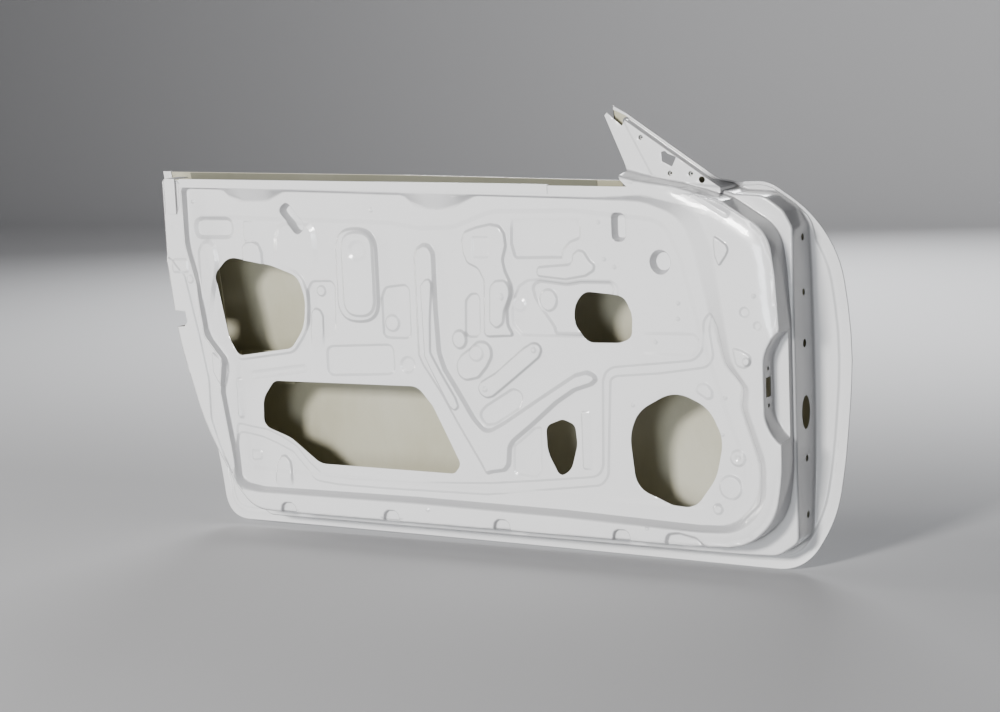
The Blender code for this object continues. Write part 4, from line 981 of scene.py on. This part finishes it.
        front = [
            sunk(slot(-268, 242, -268, 221, 26), 15, 4.5, CRISP),
            sunk(ellipse(-200, 178, 18.5, 20), 15, 4.5, CRISP),
            sunk(shape(8, (-244, 34), (-150, 33), (-138, 42), (-137, 62), (-146, 72), (-244, 71)), 1.3, 4.0,
                SOFT, (-244, 0, -212, 0)),
            raised(shape(7, (-152, -20), (-145, -5), (-129, -4), (-118, -17), (-119, -30), (-130, -34)), 1.4,
                4.0),
            raised(ellipse(-82, -119, 15), 1.7, 4.0),
            sunk(ellipse(-82, -119, 6), 1.0, 3.0),
            raised(ellipse(-95, -165, 21), 1.7, 4.0),
            raised(ellipse(-116, -200, 10), 1.4, 3.6),
        ]
        for x, z in ((-294, 182), (-277, 170), (-100, -27), (-255, -45), (-172, 116), (-173, 92), (-107, -84),
                     (-623, -232), (-229, -234), (-302, 239), (-212, 55)):
            front.append(raised(ellipse(x, z, 4.6, count=16), 0.9, 2.6, CRISP))
        return rear + middle + front

    def lower_contours(self) -> list[Pressing]:
        """Two nested steps round the loudspeaker and along the sill, and the pads by the lower hole."""
        border = ((-1006, -214), (-958, -221), (-650, -220), (-380, -223), (-145, -231), (-85, -229),
            (-41, -186), (-38, -125), (-67, -38), (-63, -8), (-92, 27), (-105, 85))
        first = shape(14, (-1010, -140), *border, (-118, 108), (-133, 92), (-136, 46), (-150, 31),
            (-287, 16), (-301, 7), (-306, -8), (-311, -158), (-419, -171), (-511, -181), (-635, -188),
            (-780, -190), (-833, -187), (-858, -168), (-884, -140), (-913, -125), (-942, -114), (-982, -109),
            (-1006, -104))
        second = shape(13, (-1010, -150), *border, (-118, 104), (-125, 77), (-119, 34), (-130, 21),
            (-207, 9), (-284, 2), (-294, -5), (-303, -159), (-314, -173), (-420, -187), (-518, -200),
            (-722, -202), (-805, -201), (-848, -197), (-870, -174), (-893, -150), (-925, -137), (-955, -127),
            (-1006, -119))
        return [
            sunk(first, 1.5, 3.4),
            sunk(second, 1.5, 3.4),
            raised(shape(6, (-1004, -26), (-1002, -102), (-980, -98), (-980, -26)), 1.8, 4.0, SOFT,
                (-984, 0, -998, 0)),
            sunk(slot(-962, -22, -862, -8, 17), 1.8, 7.0, WIDE),
            raised(shape(6, (-936, -222), (-931, -175), (-922, -160), (-910, -156), (-898, -168),
                (-895, -188), (-894, -222)), 2.2, 4.0, SOFT, (0, -216, 0, -200)),
            raised(shape(4, (-983, -152), (-981, -174), (-958, -171), (-958, -153)), 1.0, 3.0, CRISP),
        ]

    @staticmethod
    def wall_hole(line: float, run: float, bend: WallBend, flange: float, level: float,
                  loop: np.ndarray) -> np.ndarray:
        """Flat outline of a hole that stands in an upright wall.

        Args:
            line: x of the outer line of the wall.
            run: plan width of the wall.
            bend: section of the wall.
            flange: depth at the outer line.
            level: depth at the inner line.
            loop: outline of the hole as rows of depth and z.

        Returns:
            Rows of x and z on the flat pattern.
        """
        stations = np.linspace(0.0, run, STEPS.pattern_samples)
        drops = bend.drop(stations, np.full(len(stations), run), np.full(len(stations), abs(level - flange)))
        wanted = np.abs(loop[:, 0] - flange)
        way = -1.0 if level < flange else 1.0
        return np.stack([line + way * np.interp(wanted, drops, stations), loop[:, 1]], axis=1)

    def hinge_face_holes(self) -> list[np.ndarray]:
        """Bolt, locating and harness holes of the upright hinge face."""
        run = self.hinge_out + self.hinge_in
        rounds = [(z, self.hinge_hole_radius, self.hinge_hole_radius) for z in self.hinge_hole_heights]
        rounds.append((self.locating_hole_height, self.locating_hole_radius, self.locating_hole_radius))
        rounds.append((self.harness_hole_height, *self.harness_hole))
        holes = []
        for height, half_deep, half_tall in rounds:
            flange = self.depth_before(np.array([[self.hinge_out, height * MM]]), 1)[0]
            angle = np.arange(24) * 2 * math.pi / 24
            loop = np.stack([half_deep * np.cos(angle), height * MM + half_tall * np.sin(angle)], axis=1)
            holes.append(self.wall_hole(self.hinge_out, run, UPRIGHT, flange, SIZES.ledge_depth, loop))
        return [anticlockwise(hole) for hole in holes]

    def check_face_holes(self) -> list[np.ndarray]:
        """Slot and bolt holes of the upright check strap face."""
        middle = (SIZES.rim_depth + SIZES.check_pocket_depth) / 2
        wide, tall = self.check_slot
        loops = [outline([(middle + across * wide / 2, self.check_centre * MM + up * tall / 2, 0.0008)
                          for across, up in ((-1, -1), (1, -1), (1, 1), (-1, 1))])]
        for side in (-1, 1):
            centre = (self.check_centre + side * self.check_bolt_spacing / 2) * MM
            angle = np.arange(18) * 2 * math.pi / 18
            loops.append(np.stack([middle + self.check_bolt_radius * np.cos(angle),
                                   centre + self.check_bolt_radius * np.sin(angle)], axis=1))
        line = min(c[0] for c in CHECK_POCKET)
        run = min(c[0] for c in CHECK_POCKET_FLOOR) - line
        holes = [self.wall_hole(line, run, UPRIGHT, SIZES.rim_depth, SIZES.check_pocket_depth, loop)
                 for loop in loops]
        return [anticlockwise(hole) for hole in holes]

    def crown(self, points: np.ndarray) -> np.ndarray:
        """Soft fall of the rim towards its edge, widest at the upper front corner."""
        result = np.zeros(len(points))
        index = np.flatnonzero(inside(points, self.rim))
        here = points[index]
        front = ease(here[:, 0], *self.crown_front)
        upper_front = ease(here[:, 1], *self.crown_above) * front
        lower_front = ease(-here[:, 1], *self.crown_below) * front
        width, fall = (everywhere + upper * upper_front + lower * lower_front
                       for everywhere, upper, lower in (self.crown_reach, self.crown_fall))
        share = 1 - np.clip(nearest_distance(here, self.rim) / width, 0, 1)
        result[index] = fall * share * share
        return result

    def depth_before(self, points: np.ndarray, count: int) -> np.ndarray:
        """Depth of the visible face after the first few pressings."""
        depth = skin_depth(points) - SIZES.joint_gap - SIZES.panel_sheet
        for step in self.steps[:count]:
            depth = step.apply(depth, points)
        return depth

    def depth(self, points: np.ndarray) -> np.ndarray:
        """Depth of the visible face."""
        depth = self.depth_before(points, self.steps_before_crown)
        near_rim = depth < SIZES.rim_depth + 0.0005
        depth = depth + np.where(near_rim, self.crown(points), 0.0)
        for step in self.steps[self.steps_before_crown:]:
            depth = step.apply(depth, points)
        return depth

    def build(self) -> bpy.types.Object:
        """Builds the panel as one sheet.

        Returns:
            The panel object.
        """
        loops = [self.edge, *self.holes]
        for step in self.steps:
            loops += step.rings
        loops += [moved_in(self.rim, width * MM) for width in self.crown_widths]
        flat, faces = flat_triangles(loops, grid_spots(self.edge))
        faces = kept_triangles(flat, faces, self.edge, self.holes)
        points = np.stack([flat[:, 0], self.depth(flat), flat[:, 1]], axis=1)
        return sheet_object("inner_panel_sheet", points, faces, SIZES.panel_sheet)


@dataclass
class OuterSkin:
    """Outer skin whose hem is folded over the flange of the inner panel, but cut plain along the belt."""

    panel: InnerPanel
    handle_opening: tuple[float, ...] = (-1068, 205, -950, 203, 40)
    lock_hole: tuple[float, ...] = (-1113, 203, 11)
    fold_facets: int = 4
    belt_above: float = 0.2945
    belt_span: tuple[float, float] = (-1.192, -0.300)

    def __post_init__(self) -> None:
        """Works out the handle, lock and sail openings."""
        sail = corners((-130, 315, 6), (-262, 398, 6), (-276, 396, 6), (-256, 315, 6))
        self.holes = [anticlockwise(slot(*self.handle_opening)), ellipse(*self.lock_hole), traced(sail)]

    def build(self) -> bpy.types.Object:
        """Builds the skin as one sheet.

        Returns:
            The skin object.
        """
        hem = self.panel.hem
        inner = self.panel.hem_band(SIZES.hem_width)
        spots = grid_spots(moved_in(hem, SIZES.hem_width / 2))
        flat, faces = flat_triangles([hem, inner, *self.holes], spots)
        faces = kept_triangles(flat, faces, hem, self.holes)
        points = np.stack([flat[:, 0], skin_depth(flat), flat[:, 1]], axis=1)
        fold = SIZES.panel_sheet + 2 * SIZES.joint_gap
        depth = skin_depth(hem)
        count = len(hem)
        rows = []
        middle = depth - fold / 2
        out = moved_in(hem, -fold / 2) - hem
        for angle in np.linspace(0, math.pi, self.fold_facets + 1):
            ring = hem + out * math.sin(angle)
            rows.append(np.stack([ring[:, 0], middle + fold / 2 * math.cos(angle), ring[:, 1]], axis=1))
        rows.append(np.stack([inner[:, 0], skin_depth(inner) - fold, inner[:, 1]], axis=1))
        strip = []
        base = len(points)
        rear, front = self.belt_span
        belt = (hem[:, 1] > self.belt_above) & (hem[:, 0] > rear) & (hem[:, 0] < front)
        for row in range(len(rows) - 1):
            for k in range(count):
                following = (k + 1) % count
                if belt[k] and belt[following]:
                    continue
                a, b = base + row * count + k, base + row * count + following
                strip.append((b, a, a + count, b + count))
        points = np.concatenate([points, *rows])
        return sheet_object("outer_skin_sheet", points, list(faces) + strip, SIZES.skin_sheet)


class ShaderGroup:
    """Small helper that builds a node group with named inputs and outputs."""

    def __init__(self, name: str, inputs: dict[str, float | Tone], outputs: dict[str, str]) -> None:
        """Starts a group with its sockets.

        Args:
            name: name of the group.
            inputs: default of each input; a tone makes it a colour.
            outputs: kind of each output, Float or Color.
        """
        self.tree = bpy.data.node_groups.new(name, "ShaderNodeTree")
        entry = self.tree.nodes.new("NodeGroupInput")
        leave = self.tree.nodes.new("NodeGroupOutput")
        for key, value in inputs.items():
            kind = "Color" if isinstance(value, tuple) else "Float"
            socket = self.tree.interface.new_socket(name=key, in_out="INPUT", socket_type="NodeSocket" + kind)
            socket.default_value = (*value, 1.0) if isinstance(value, tuple) else value
        for key, kind in outputs.items():
            self.tree.interface.new_socket(name=key, in_out="OUTPUT", socket_type="NodeSocket" + kind)
        self.given = entry.outputs
        self.result = leave.inputs

    def node(self, kind: str, inputs: dict[str | int, object] | None = None,
             **settings: str) -> bpy.types.Node:
        """Adds a node.

        Args:
            kind: node type without its ShaderNode prefix.
            inputs: constants or sockets by input name or number.
            settings: properties of the node.

        Returns:
            The node.
        """
        node = self.tree.nodes.new("ShaderNode" + kind)
        for key, value in settings.items():
            setattr(node, key, value)
        for key, value in (inputs or {}).items():
            self.feed(node.inputs[key], value)
        return node

    def feed(self, target: bpy.types.NodeSocket, value: object) -> None:
        """Links a socket to an input, or sets the input's constant."""
        if isinstance(value, bpy.types.NodeSocket):
            self.tree.links.new(value, target)
        else:
            target.default_value = value


class SharedEffects:
    """Effects that several finishes use, each built once as a node group."""

    def __init__(self) -> None:
        """Builds the groups."""
        self.ripple = self.build_ripple()
        self.mottle = self.build_mottle()
        self.haze = self.build_haze()

    @staticmethod
    def build_ripple() -> bpy.types.ShaderNodeTree:
        """Fine and long waves of a sprayed or rolled surface, as a height."""
        group = ShaderGroup("surface_ripple", {"Fine Scale": 600.0, "Long Scale": 40.0, "Long Share": 0.5},
                            {"Height": "Float"})
        given = group.given
        place = group.node("TexCoord").outputs["Object"]
        fine = group.node("TexNoise", {"Vector": place, "Scale": given["Fine Scale"], "Detail": 2.0})
        long = group.node("TexNoise", {"Vector": place, "Scale": given["Long Scale"], "Detail": 1.0})
        mix = group.node("Mix", {0: given["Long Share"], 2: fine.outputs["Fac"], 3: long.outputs["Fac"]},
                         data_type="FLOAT")
        group.feed(group.result["Height"], mix.outputs[0])
        return group.tree

    @staticmethod
    def build_mottle() -> bpy.types.ShaderNodeTree:
        """Two tones of one coat, clouded together, and a roughness that follows them."""
        group = ShaderGroup("coat_mottle", {"First": (0.8, 0.8, 0.8), "Second": (0.7, 0.7, 0.7), "Scale": 5.0,
                                            "Smooth Roughness": 0.2, "Dull Roughness": 0.3},
                            {"Color": "Color", "Roughness": "Float"})
        given = group.given
        place = group.node("TexCoord").outputs["Object"]
        cloud = group.node("TexNoise", {"Vector": place, "Scale": given["Scale"], "Detail": 5.0,
                                        "Roughness": 0.6})
        spread = group.node("MapRange", {0: cloud.outputs["Fac"], 1: 0.35, 2: 0.65}).outputs[0]
        tone = group.node("Mix", {0: spread, 6: given["First"], 7: given["Second"]}, data_type="RGBA")
        rough = group.node("Mix", {0: spread, 2: given["Smooth Roughness"], 3: given["Dull Roughness"]},
                           data_type="FLOAT")
        group.feed(group.result["Color"], tone.outputs[2])
        group.feed(group.result["Roughness"], rough.outputs[0])
        return group.tree

    @staticmethod
    def build_haze() -> bpy.types.ShaderNodeTree:
        """Thin film of dust or overspray in soft patches over a colour."""
        group = ShaderGroup("film_haze", {"Color": (0.5, 0.5, 0.5), "Film": (0.6, 0.6, 0.55), "Scale": 3.0,
                                          "Amount": 0.3}, {"Color": "Color"})
        given = group.given
        place = group.node("TexCoord").outputs["Object"]
        stretch = group.node("Mapping", {"Vector": place, "Scale": (1.0, 1.0, 0.45)}).outputs["Vector"]
        patch = group.node("TexNoise", {"Vector": stretch, "Scale": given["Scale"], "Detail": 7.0,
                                        "Roughness": 0.68})
        spread = group.node("MapRange", {0: patch.outputs["Fac"], 1: 0.42, 2: 0.72}).outputs[0]
        share = group.node("Math", {0: spread, 1: given["Amount"]}, operation="MULTIPLY").outputs[0]
        tone = group.node("Mix", {0: share, 6: given["Color"], 7: given["Film"]}, data_type="RGBA")
        group.feed(group.result["Color"], tone.outputs[2])
        return group.tree


@dataclass(frozen=True)
class Finish:
    """One finish of the door: its tones, gloss, ripple and film, and a painted shade multiplied in on steep
    walls.
    """

    first: Tone
    second: Tone
    film: Tone
    film_amount: float
    roughness: tuple[float, float]
    mottle_scale: float
    film_scale: float
    fine_scale: float
    long_scale: float
    long_share: float
    relief: float
    metallic: float = 0.0
    coat: float = 0.0
    coat_roughness: float = 0.05
    painted_wall_shade: Tone = (1.0, 1.0, 1.0)

    def material(self, name: str, effects: SharedEffects) -> bpy.types.Material:
        """Makes the material.

        Args:
            name: name of the material.
            effects: the shared node groups.

        Returns:
            The material.
        """
        material = bpy.data.materials.new(name)
        material.use_nodes = True
        tree = material.node_tree
        shader = tree.nodes["Principled BSDF"]
        shader.inputs["Metallic"].default_value = self.metallic
        shader.inputs["Coat Weight"].default_value = self.coat
        shader.inputs["Coat Roughness"].default_value = self.coat_roughness
        mottle = self.group_node(tree, effects.mottle, {
            "First": (*self.first, 1.0), "Second": (*self.second, 1.0), "Scale": self.mottle_scale,
            "Smooth Roughness": self.roughness[0], "Dull Roughness": self.roughness[1]})
        haze = self.group_node(tree, effects.haze, {
            "Film": (*self.film, 1.0), "Amount": self.film_amount, "Scale": self.film_scale})
        ripple = self.group_node(tree, effects.ripple, {
            "Fine Scale": self.fine_scale, "Long Scale": self.long_scale, "Long Share": self.long_share})
        bump = tree.nodes.new("ShaderNodeBump")
        bump.inputs["Strength"].default_value = 1.0
        bump.inputs["Distance"].default_value = self.relief
        # Painted shade: the colour is multiplied by the painted wall shade where the sheet is steep, in place
        # of the shade on pressed walls.
        walls = tree.nodes.new("ShaderNodeAttribute")
        walls.attribute_name = "steepness"
        darker = tree.nodes.new("ShaderNodeMix")
        darker.data_type = "RGBA"
        darker.blend_type = "MULTIPLY"
        darker.inputs[7].default_value = (*self.painted_wall_shade, 1.0)
        for source, target in (
                (mottle.outputs["Color"], haze.inputs["Color"]), (walls.outputs["Fac"], darker.inputs[0]),
                (haze.outputs["Color"], darker.inputs[6]), (darker.outputs[2], shader.inputs["Base Color"]),
                (mottle.outputs["Roughness"], shader.inputs["Roughness"]),
                (ripple.outputs["Height"], bump.inputs["Height"]),
                (bump.outputs["Normal"], shader.inputs["Normal"])):
            tree.links.new(source, target)
        return material

    @staticmethod
    def group_node(tree: bpy.types.NodeTree, group: bpy.types.ShaderNodeTree,
                   values: dict[str, object]) -> bpy.types.Node:
        """Places one shared group in a material with its own values."""
        node = tree.nodes.new("ShaderNodeGroup")
        node.node_tree = group
        for name, value in values.items():
            node.inputs[name].default_value = value
        return node


class Coat(Enum):
    """The finishes named by the record's material slots, and a darker copy of the primer that paints shade on
    the parts inside the belt.
    """

    WHITE = "gloss_white_paint"
    PRIMER = "electrocoat_primer"
    SHADED_PRIMER = "shaded_electrocoat_primer"
    ZINC = "zinc_plated_steel"
    MASTIC = "mastic"


FINISHES = {
    # The white paint's painted wall shade darkens its steep walls, in place of their shade.
    Coat.WHITE: Finish((0.80, 0.80, 0.805), (0.785, 0.782, 0.78), (0.72, 0.70, 0.66), 0.05, (0.20, 0.27),
                       2.2, 9.0, 420.0, 30.0, 0.35, 0.00005, coat=0.35, coat_roughness=0.04,
                       painted_wall_shade=(0.56, 0.56, 0.57)),
    Coat.PRIMER: Finish((0.455, 0.435, 0.315), (0.40, 0.375, 0.26), (0.60, 0.59, 0.50), 0.55, (0.34, 0.50),
                        6.0, 3.0, 700.0, 60.0, 0.3, 0.00004),
    # Darker copy of the primer: painted shade on the belt reinforcement and channel, which lie in shade under
    # the belt.
    Coat.SHADED_PRIMER: Finish((0.205, 0.205, 0.155), (0.17, 0.168, 0.125), (0.30, 0.295, 0.24), 0.4,
                             (0.38, 0.52), 6.0, 3.0, 700.0, 60.0, 0.3, 0.00004),
    Coat.ZINC: Finish((0.62, 0.62, 0.60), (0.46, 0.46, 0.45), (0.30, 0.29, 0.26), 0.30, (0.26, 0.46),
                      60.0, 120.0, 1500.0, 300.0, 0.5, 0.00003, metallic=1.0),
    Coat.MASTIC: Finish((0.045, 0.044, 0.042), (0.065, 0.063, 0.058), (0.16, 0.15, 0.13), 0.25, (0.55, 0.80),
                        30.0, 12.0, 900.0, 160.0, 0.6, 0.0004),
}


class Palette:
    """One material per finish, made when it is first asked for."""

    def __init__(self) -> None:
        """Starts with the shared effects and no materials."""
        self.effects = SharedEffects()
        self.made: dict[Coat, bpy.types.Material] = {}

    def material(self, coat: Coat) -> bpy.types.Material:
        """The material of a finish."""
        if coat not in self.made:
            self.made[coat] = FINISHES[coat].material(coat.value, self.effects)
        return self.made[coat]


@dataclass
class Hardware:
    """Reinforcements, channels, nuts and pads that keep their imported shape."""

    palette: Palette
    # Belt parts that get the primer with painted shade.
    painted_shade_nodes: tuple[str, ...] = ("belt_reinforcement_outer", "belt_channel_inner")

    def dress(self, nodes: dict[str, bpy.types.Object], record: dict, replaced: set[str]) -> None:
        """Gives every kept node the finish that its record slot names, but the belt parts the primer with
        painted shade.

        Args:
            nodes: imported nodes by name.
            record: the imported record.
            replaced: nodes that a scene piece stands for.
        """
        for part in record["subparts"]:
            name = part["node"]
            if name in replaced or name not in nodes:
                continue
            # The belt parts get the darker primer as painted shade.
            coat = Coat.SHADED_PRIMER if name in self.painted_shade_nodes else Coat(part["material_slot"])
            material = self.palette.material(coat)
            data = nodes[name].data
            data.materials.clear()
            data.materials.append(material)
            LOG.info("%s: %s", name, material.name)


@dataclass(frozen=True)
class Lamp:
    """One rectangular soft light: its place, aim, width and height, watts and tint."""

    name: str
    place: Spot
    aim: Spot
    size: tuple[float, float]
    power: float
    tint: Tone

    def build(self) -> None:
        """Adds the light to the scene."""
        light = bpy.data.lights.new(self.name, "AREA")
        light.shape = "RECTANGLE"
        light.size, light.size_y = self.size
        light.energy = self.power
        light.color = self.tint
        lamp = bpy.data.objects.new(self.name, light)
        bpy.context.scene.collection.objects.link(lamp)
        lamp.location = self.place
        lamp.rotation_euler = (Vector(self.aim) - Vector(self.place)).to_track_quat("-Z", "Y").to_euler()


LAMPS = (
    Lamp("key", (-1.1, -5.2, 1.5), (-0.7, 0.0, 0.05), (0.9, 0.7), 380.0, (1.0, 0.985, 0.965)),
    Lamp("front", (-0.1, -4.0, 0.1), (-0.1, 0.0, 0.0), (0.8, 0.8), 60.0, (0.90, 0.95, 1.0)),
    Lamp("side", (-3.9, -0.9, 0.5), (-0.55, 0.0, 0.0), (0.25, 2.2), 45.0, (1.0, 0.97, 0.92)),
    Lamp("outside", (-2.2, 4.6, 2.1), (-0.6, 0.0, 0.0), (2.4, 1.6), 190.0, (0.97, 0.985, 1.0)),
    Lamp("backdrop", (-0.5, 1.6, 2.6), (-0.5, 6.0, 0.6), (4.0, 2.0), 230.0, (1.0, 1.0, 1.0)),
)


@dataclass(frozen=True)
class Studio:
    """Floor, backdrop, lights and the camera at the photograph's angle."""

    floor_height: float = -0.3085
    floor_half: float = 9.0
    floor_shift: float = -3.0
    sweep_radius: float = 2.0
    backdrop_rise: float = 5.0
    floor_tone: Tone = (0.50, 0.50, 0.51)
    sky_tone: Tone = (0.93, 0.95, 1.0)
    sky_strength: float = 0.10
    camera_place: Spot = (1.0808, -2.9229, 0.4873)
    camera_angles: Spot = (28.8, 8.1, 2.4)
    sensor: float = 36.0
    lens: float = 74.05

    def build(self) -> None:
        """Builds the whole stage."""
        self.floor()
        self.sky()
        for lamp in LAMPS:
            lamp.build()
        self.camera()

    def floor(self) -> None:
        """Plain pale floor that sweeps up into a backdrop."""
        back = self.floor_half + self.floor_shift
        bm = bmesh.new()
        bmesh.ops.create_grid(bm, x_segments=1, y_segments=1, size=self.floor_half)
        bmesh.ops.translate(bm, verts=bm.verts, vec=(0.0, self.floor_shift, self.floor_height))
        rear = [edge for edge in bm.edges if all(v.co.y > back - 0.1 for v in edge.verts)]
        spun = bmesh.ops.spin(bm, geom=rear, cent=(0.0, back, self.floor_height + self.sweep_radius),
                              axis=(1.0, 0.0, 0.0), dvec=(0.0, 0.0, 0.0), angle=math.radians(90), steps=16,
                              use_merge=False)
        rim = [e for e in spun["geom_last"] if isinstance(e, bmesh.types.BMEdge)]
        upper = bmesh.ops.extrude_edge_only(bm, edges=rim)["geom"]
        top = [v for v in upper if isinstance(v, bmesh.types.BMVert)]
        bmesh.ops.translate(bm, verts=top, vec=(0.0, 0.0, self.backdrop_rise))
        mesh = bpy.data.meshes.new("studio_floor")
        bm.to_mesh(mesh)
        bm.free()
        mesh.shade_smooth()
        obj = bpy.data.objects.new("studio_floor", mesh)
        bpy.context.scene.collection.objects.link(obj)
        material = bpy.data.materials.new("studio_floor")
        material.use_nodes = True
        shader = material.node_tree.nodes["Principled BSDF"]
        shader.inputs["Base Color"].default_value = (*self.floor_tone, 1.0)
        shader.inputs["Roughness"].default_value = 0.85
        shader.inputs["Specular IOR Level"].default_value = 0.2
        mesh.materials.append(material)

    def sky(self) -> None:
        """Even soft fill from all round."""
        world = bpy.data.worlds.new("studio")
        bpy.context.scene.world = world
        world.use_nodes = True
        background = world.node_tree.nodes["Background"]
        background.inputs["Color"].default_value = (*self.sky_tone, 1.0)
        background.inputs["Strength"].default_value = self.sky_strength

    def camera(self) -> None:
        """Camera at the photograph's place and lens, turned by yaw, pitch and roll."""
        yaw, pitch, roll = map(math.radians, self.camera_angles)
        away = math.cos(pitch)
        forward = Vector((-math.sin(yaw) * away, math.cos(yaw) * away, -math.sin(pitch)))
        level = Vector((math.cos(yaw), math.sin(yaw), 0.0))
        upright = level.cross(forward)
        right = math.cos(roll) * level - math.sin(roll) * upright
        top = math.sin(roll) * level + math.cos(roll) * upright
        data = bpy.data.cameras.new("camera")
        data.sensor_width = self.sensor
        data.lens = self.lens
        camera = bpy.data.objects.new("camera", data)
        bpy.context.scene.collection.objects.link(camera)
        turn = Matrix((right, top, -forward)).transposed().to_4x4()
        camera.matrix_world = Matrix.Translation(self.camera_place) @ turn
        bpy.context.scene.camera = camera


def dress_sheet(sheet: bpy.types.Object, node: str, visible: Coat, behind: Coat, palette: Palette) -> None:
    """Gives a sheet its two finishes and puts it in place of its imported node.

    Args:
        sheet: the sheet object.
        node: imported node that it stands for.
        visible: finish of the front.
        behind: finish of the back.
        palette: the materials.
    """
    sheet.data.materials.append(palette.material(visible))
    sheet.data.materials.append(palette.material(behind))
    solid = sheet.modifiers["sheet"]
    solid.material_offset = 1
    solid.material_offset_rim = 0 if visible is Coat.WHITE else 1
    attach(sheet, "root")
    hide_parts(node)
    LOG.info("%s: %d front faces", sheet.name, len(sheet.data.polygons))


def main() -> None:
    """Builds every class in order and reports each piece."""
    logging.basicConfig(level=logging.INFO, format="%(name)s %(message)s")
    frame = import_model()
    palette = Palette()
    panel = InnerPanel()
    dress_sheet(panel.build(), "inner_panel", Coat.WHITE, Coat.PRIMER, palette)
    # The front of the skin's mesh is its inner face, so the paint is on the back.
    dress_sheet(OuterSkin(panel).build(), "outer_skin", Coat.PRIMER, Coat.WHITE, palette)
    Hardware(palette).dress(frame["nodes"], frame["record"], {"inner_panel", "outer_skin"})
    Studio().build()


if __name__ == "__main__":
    main()
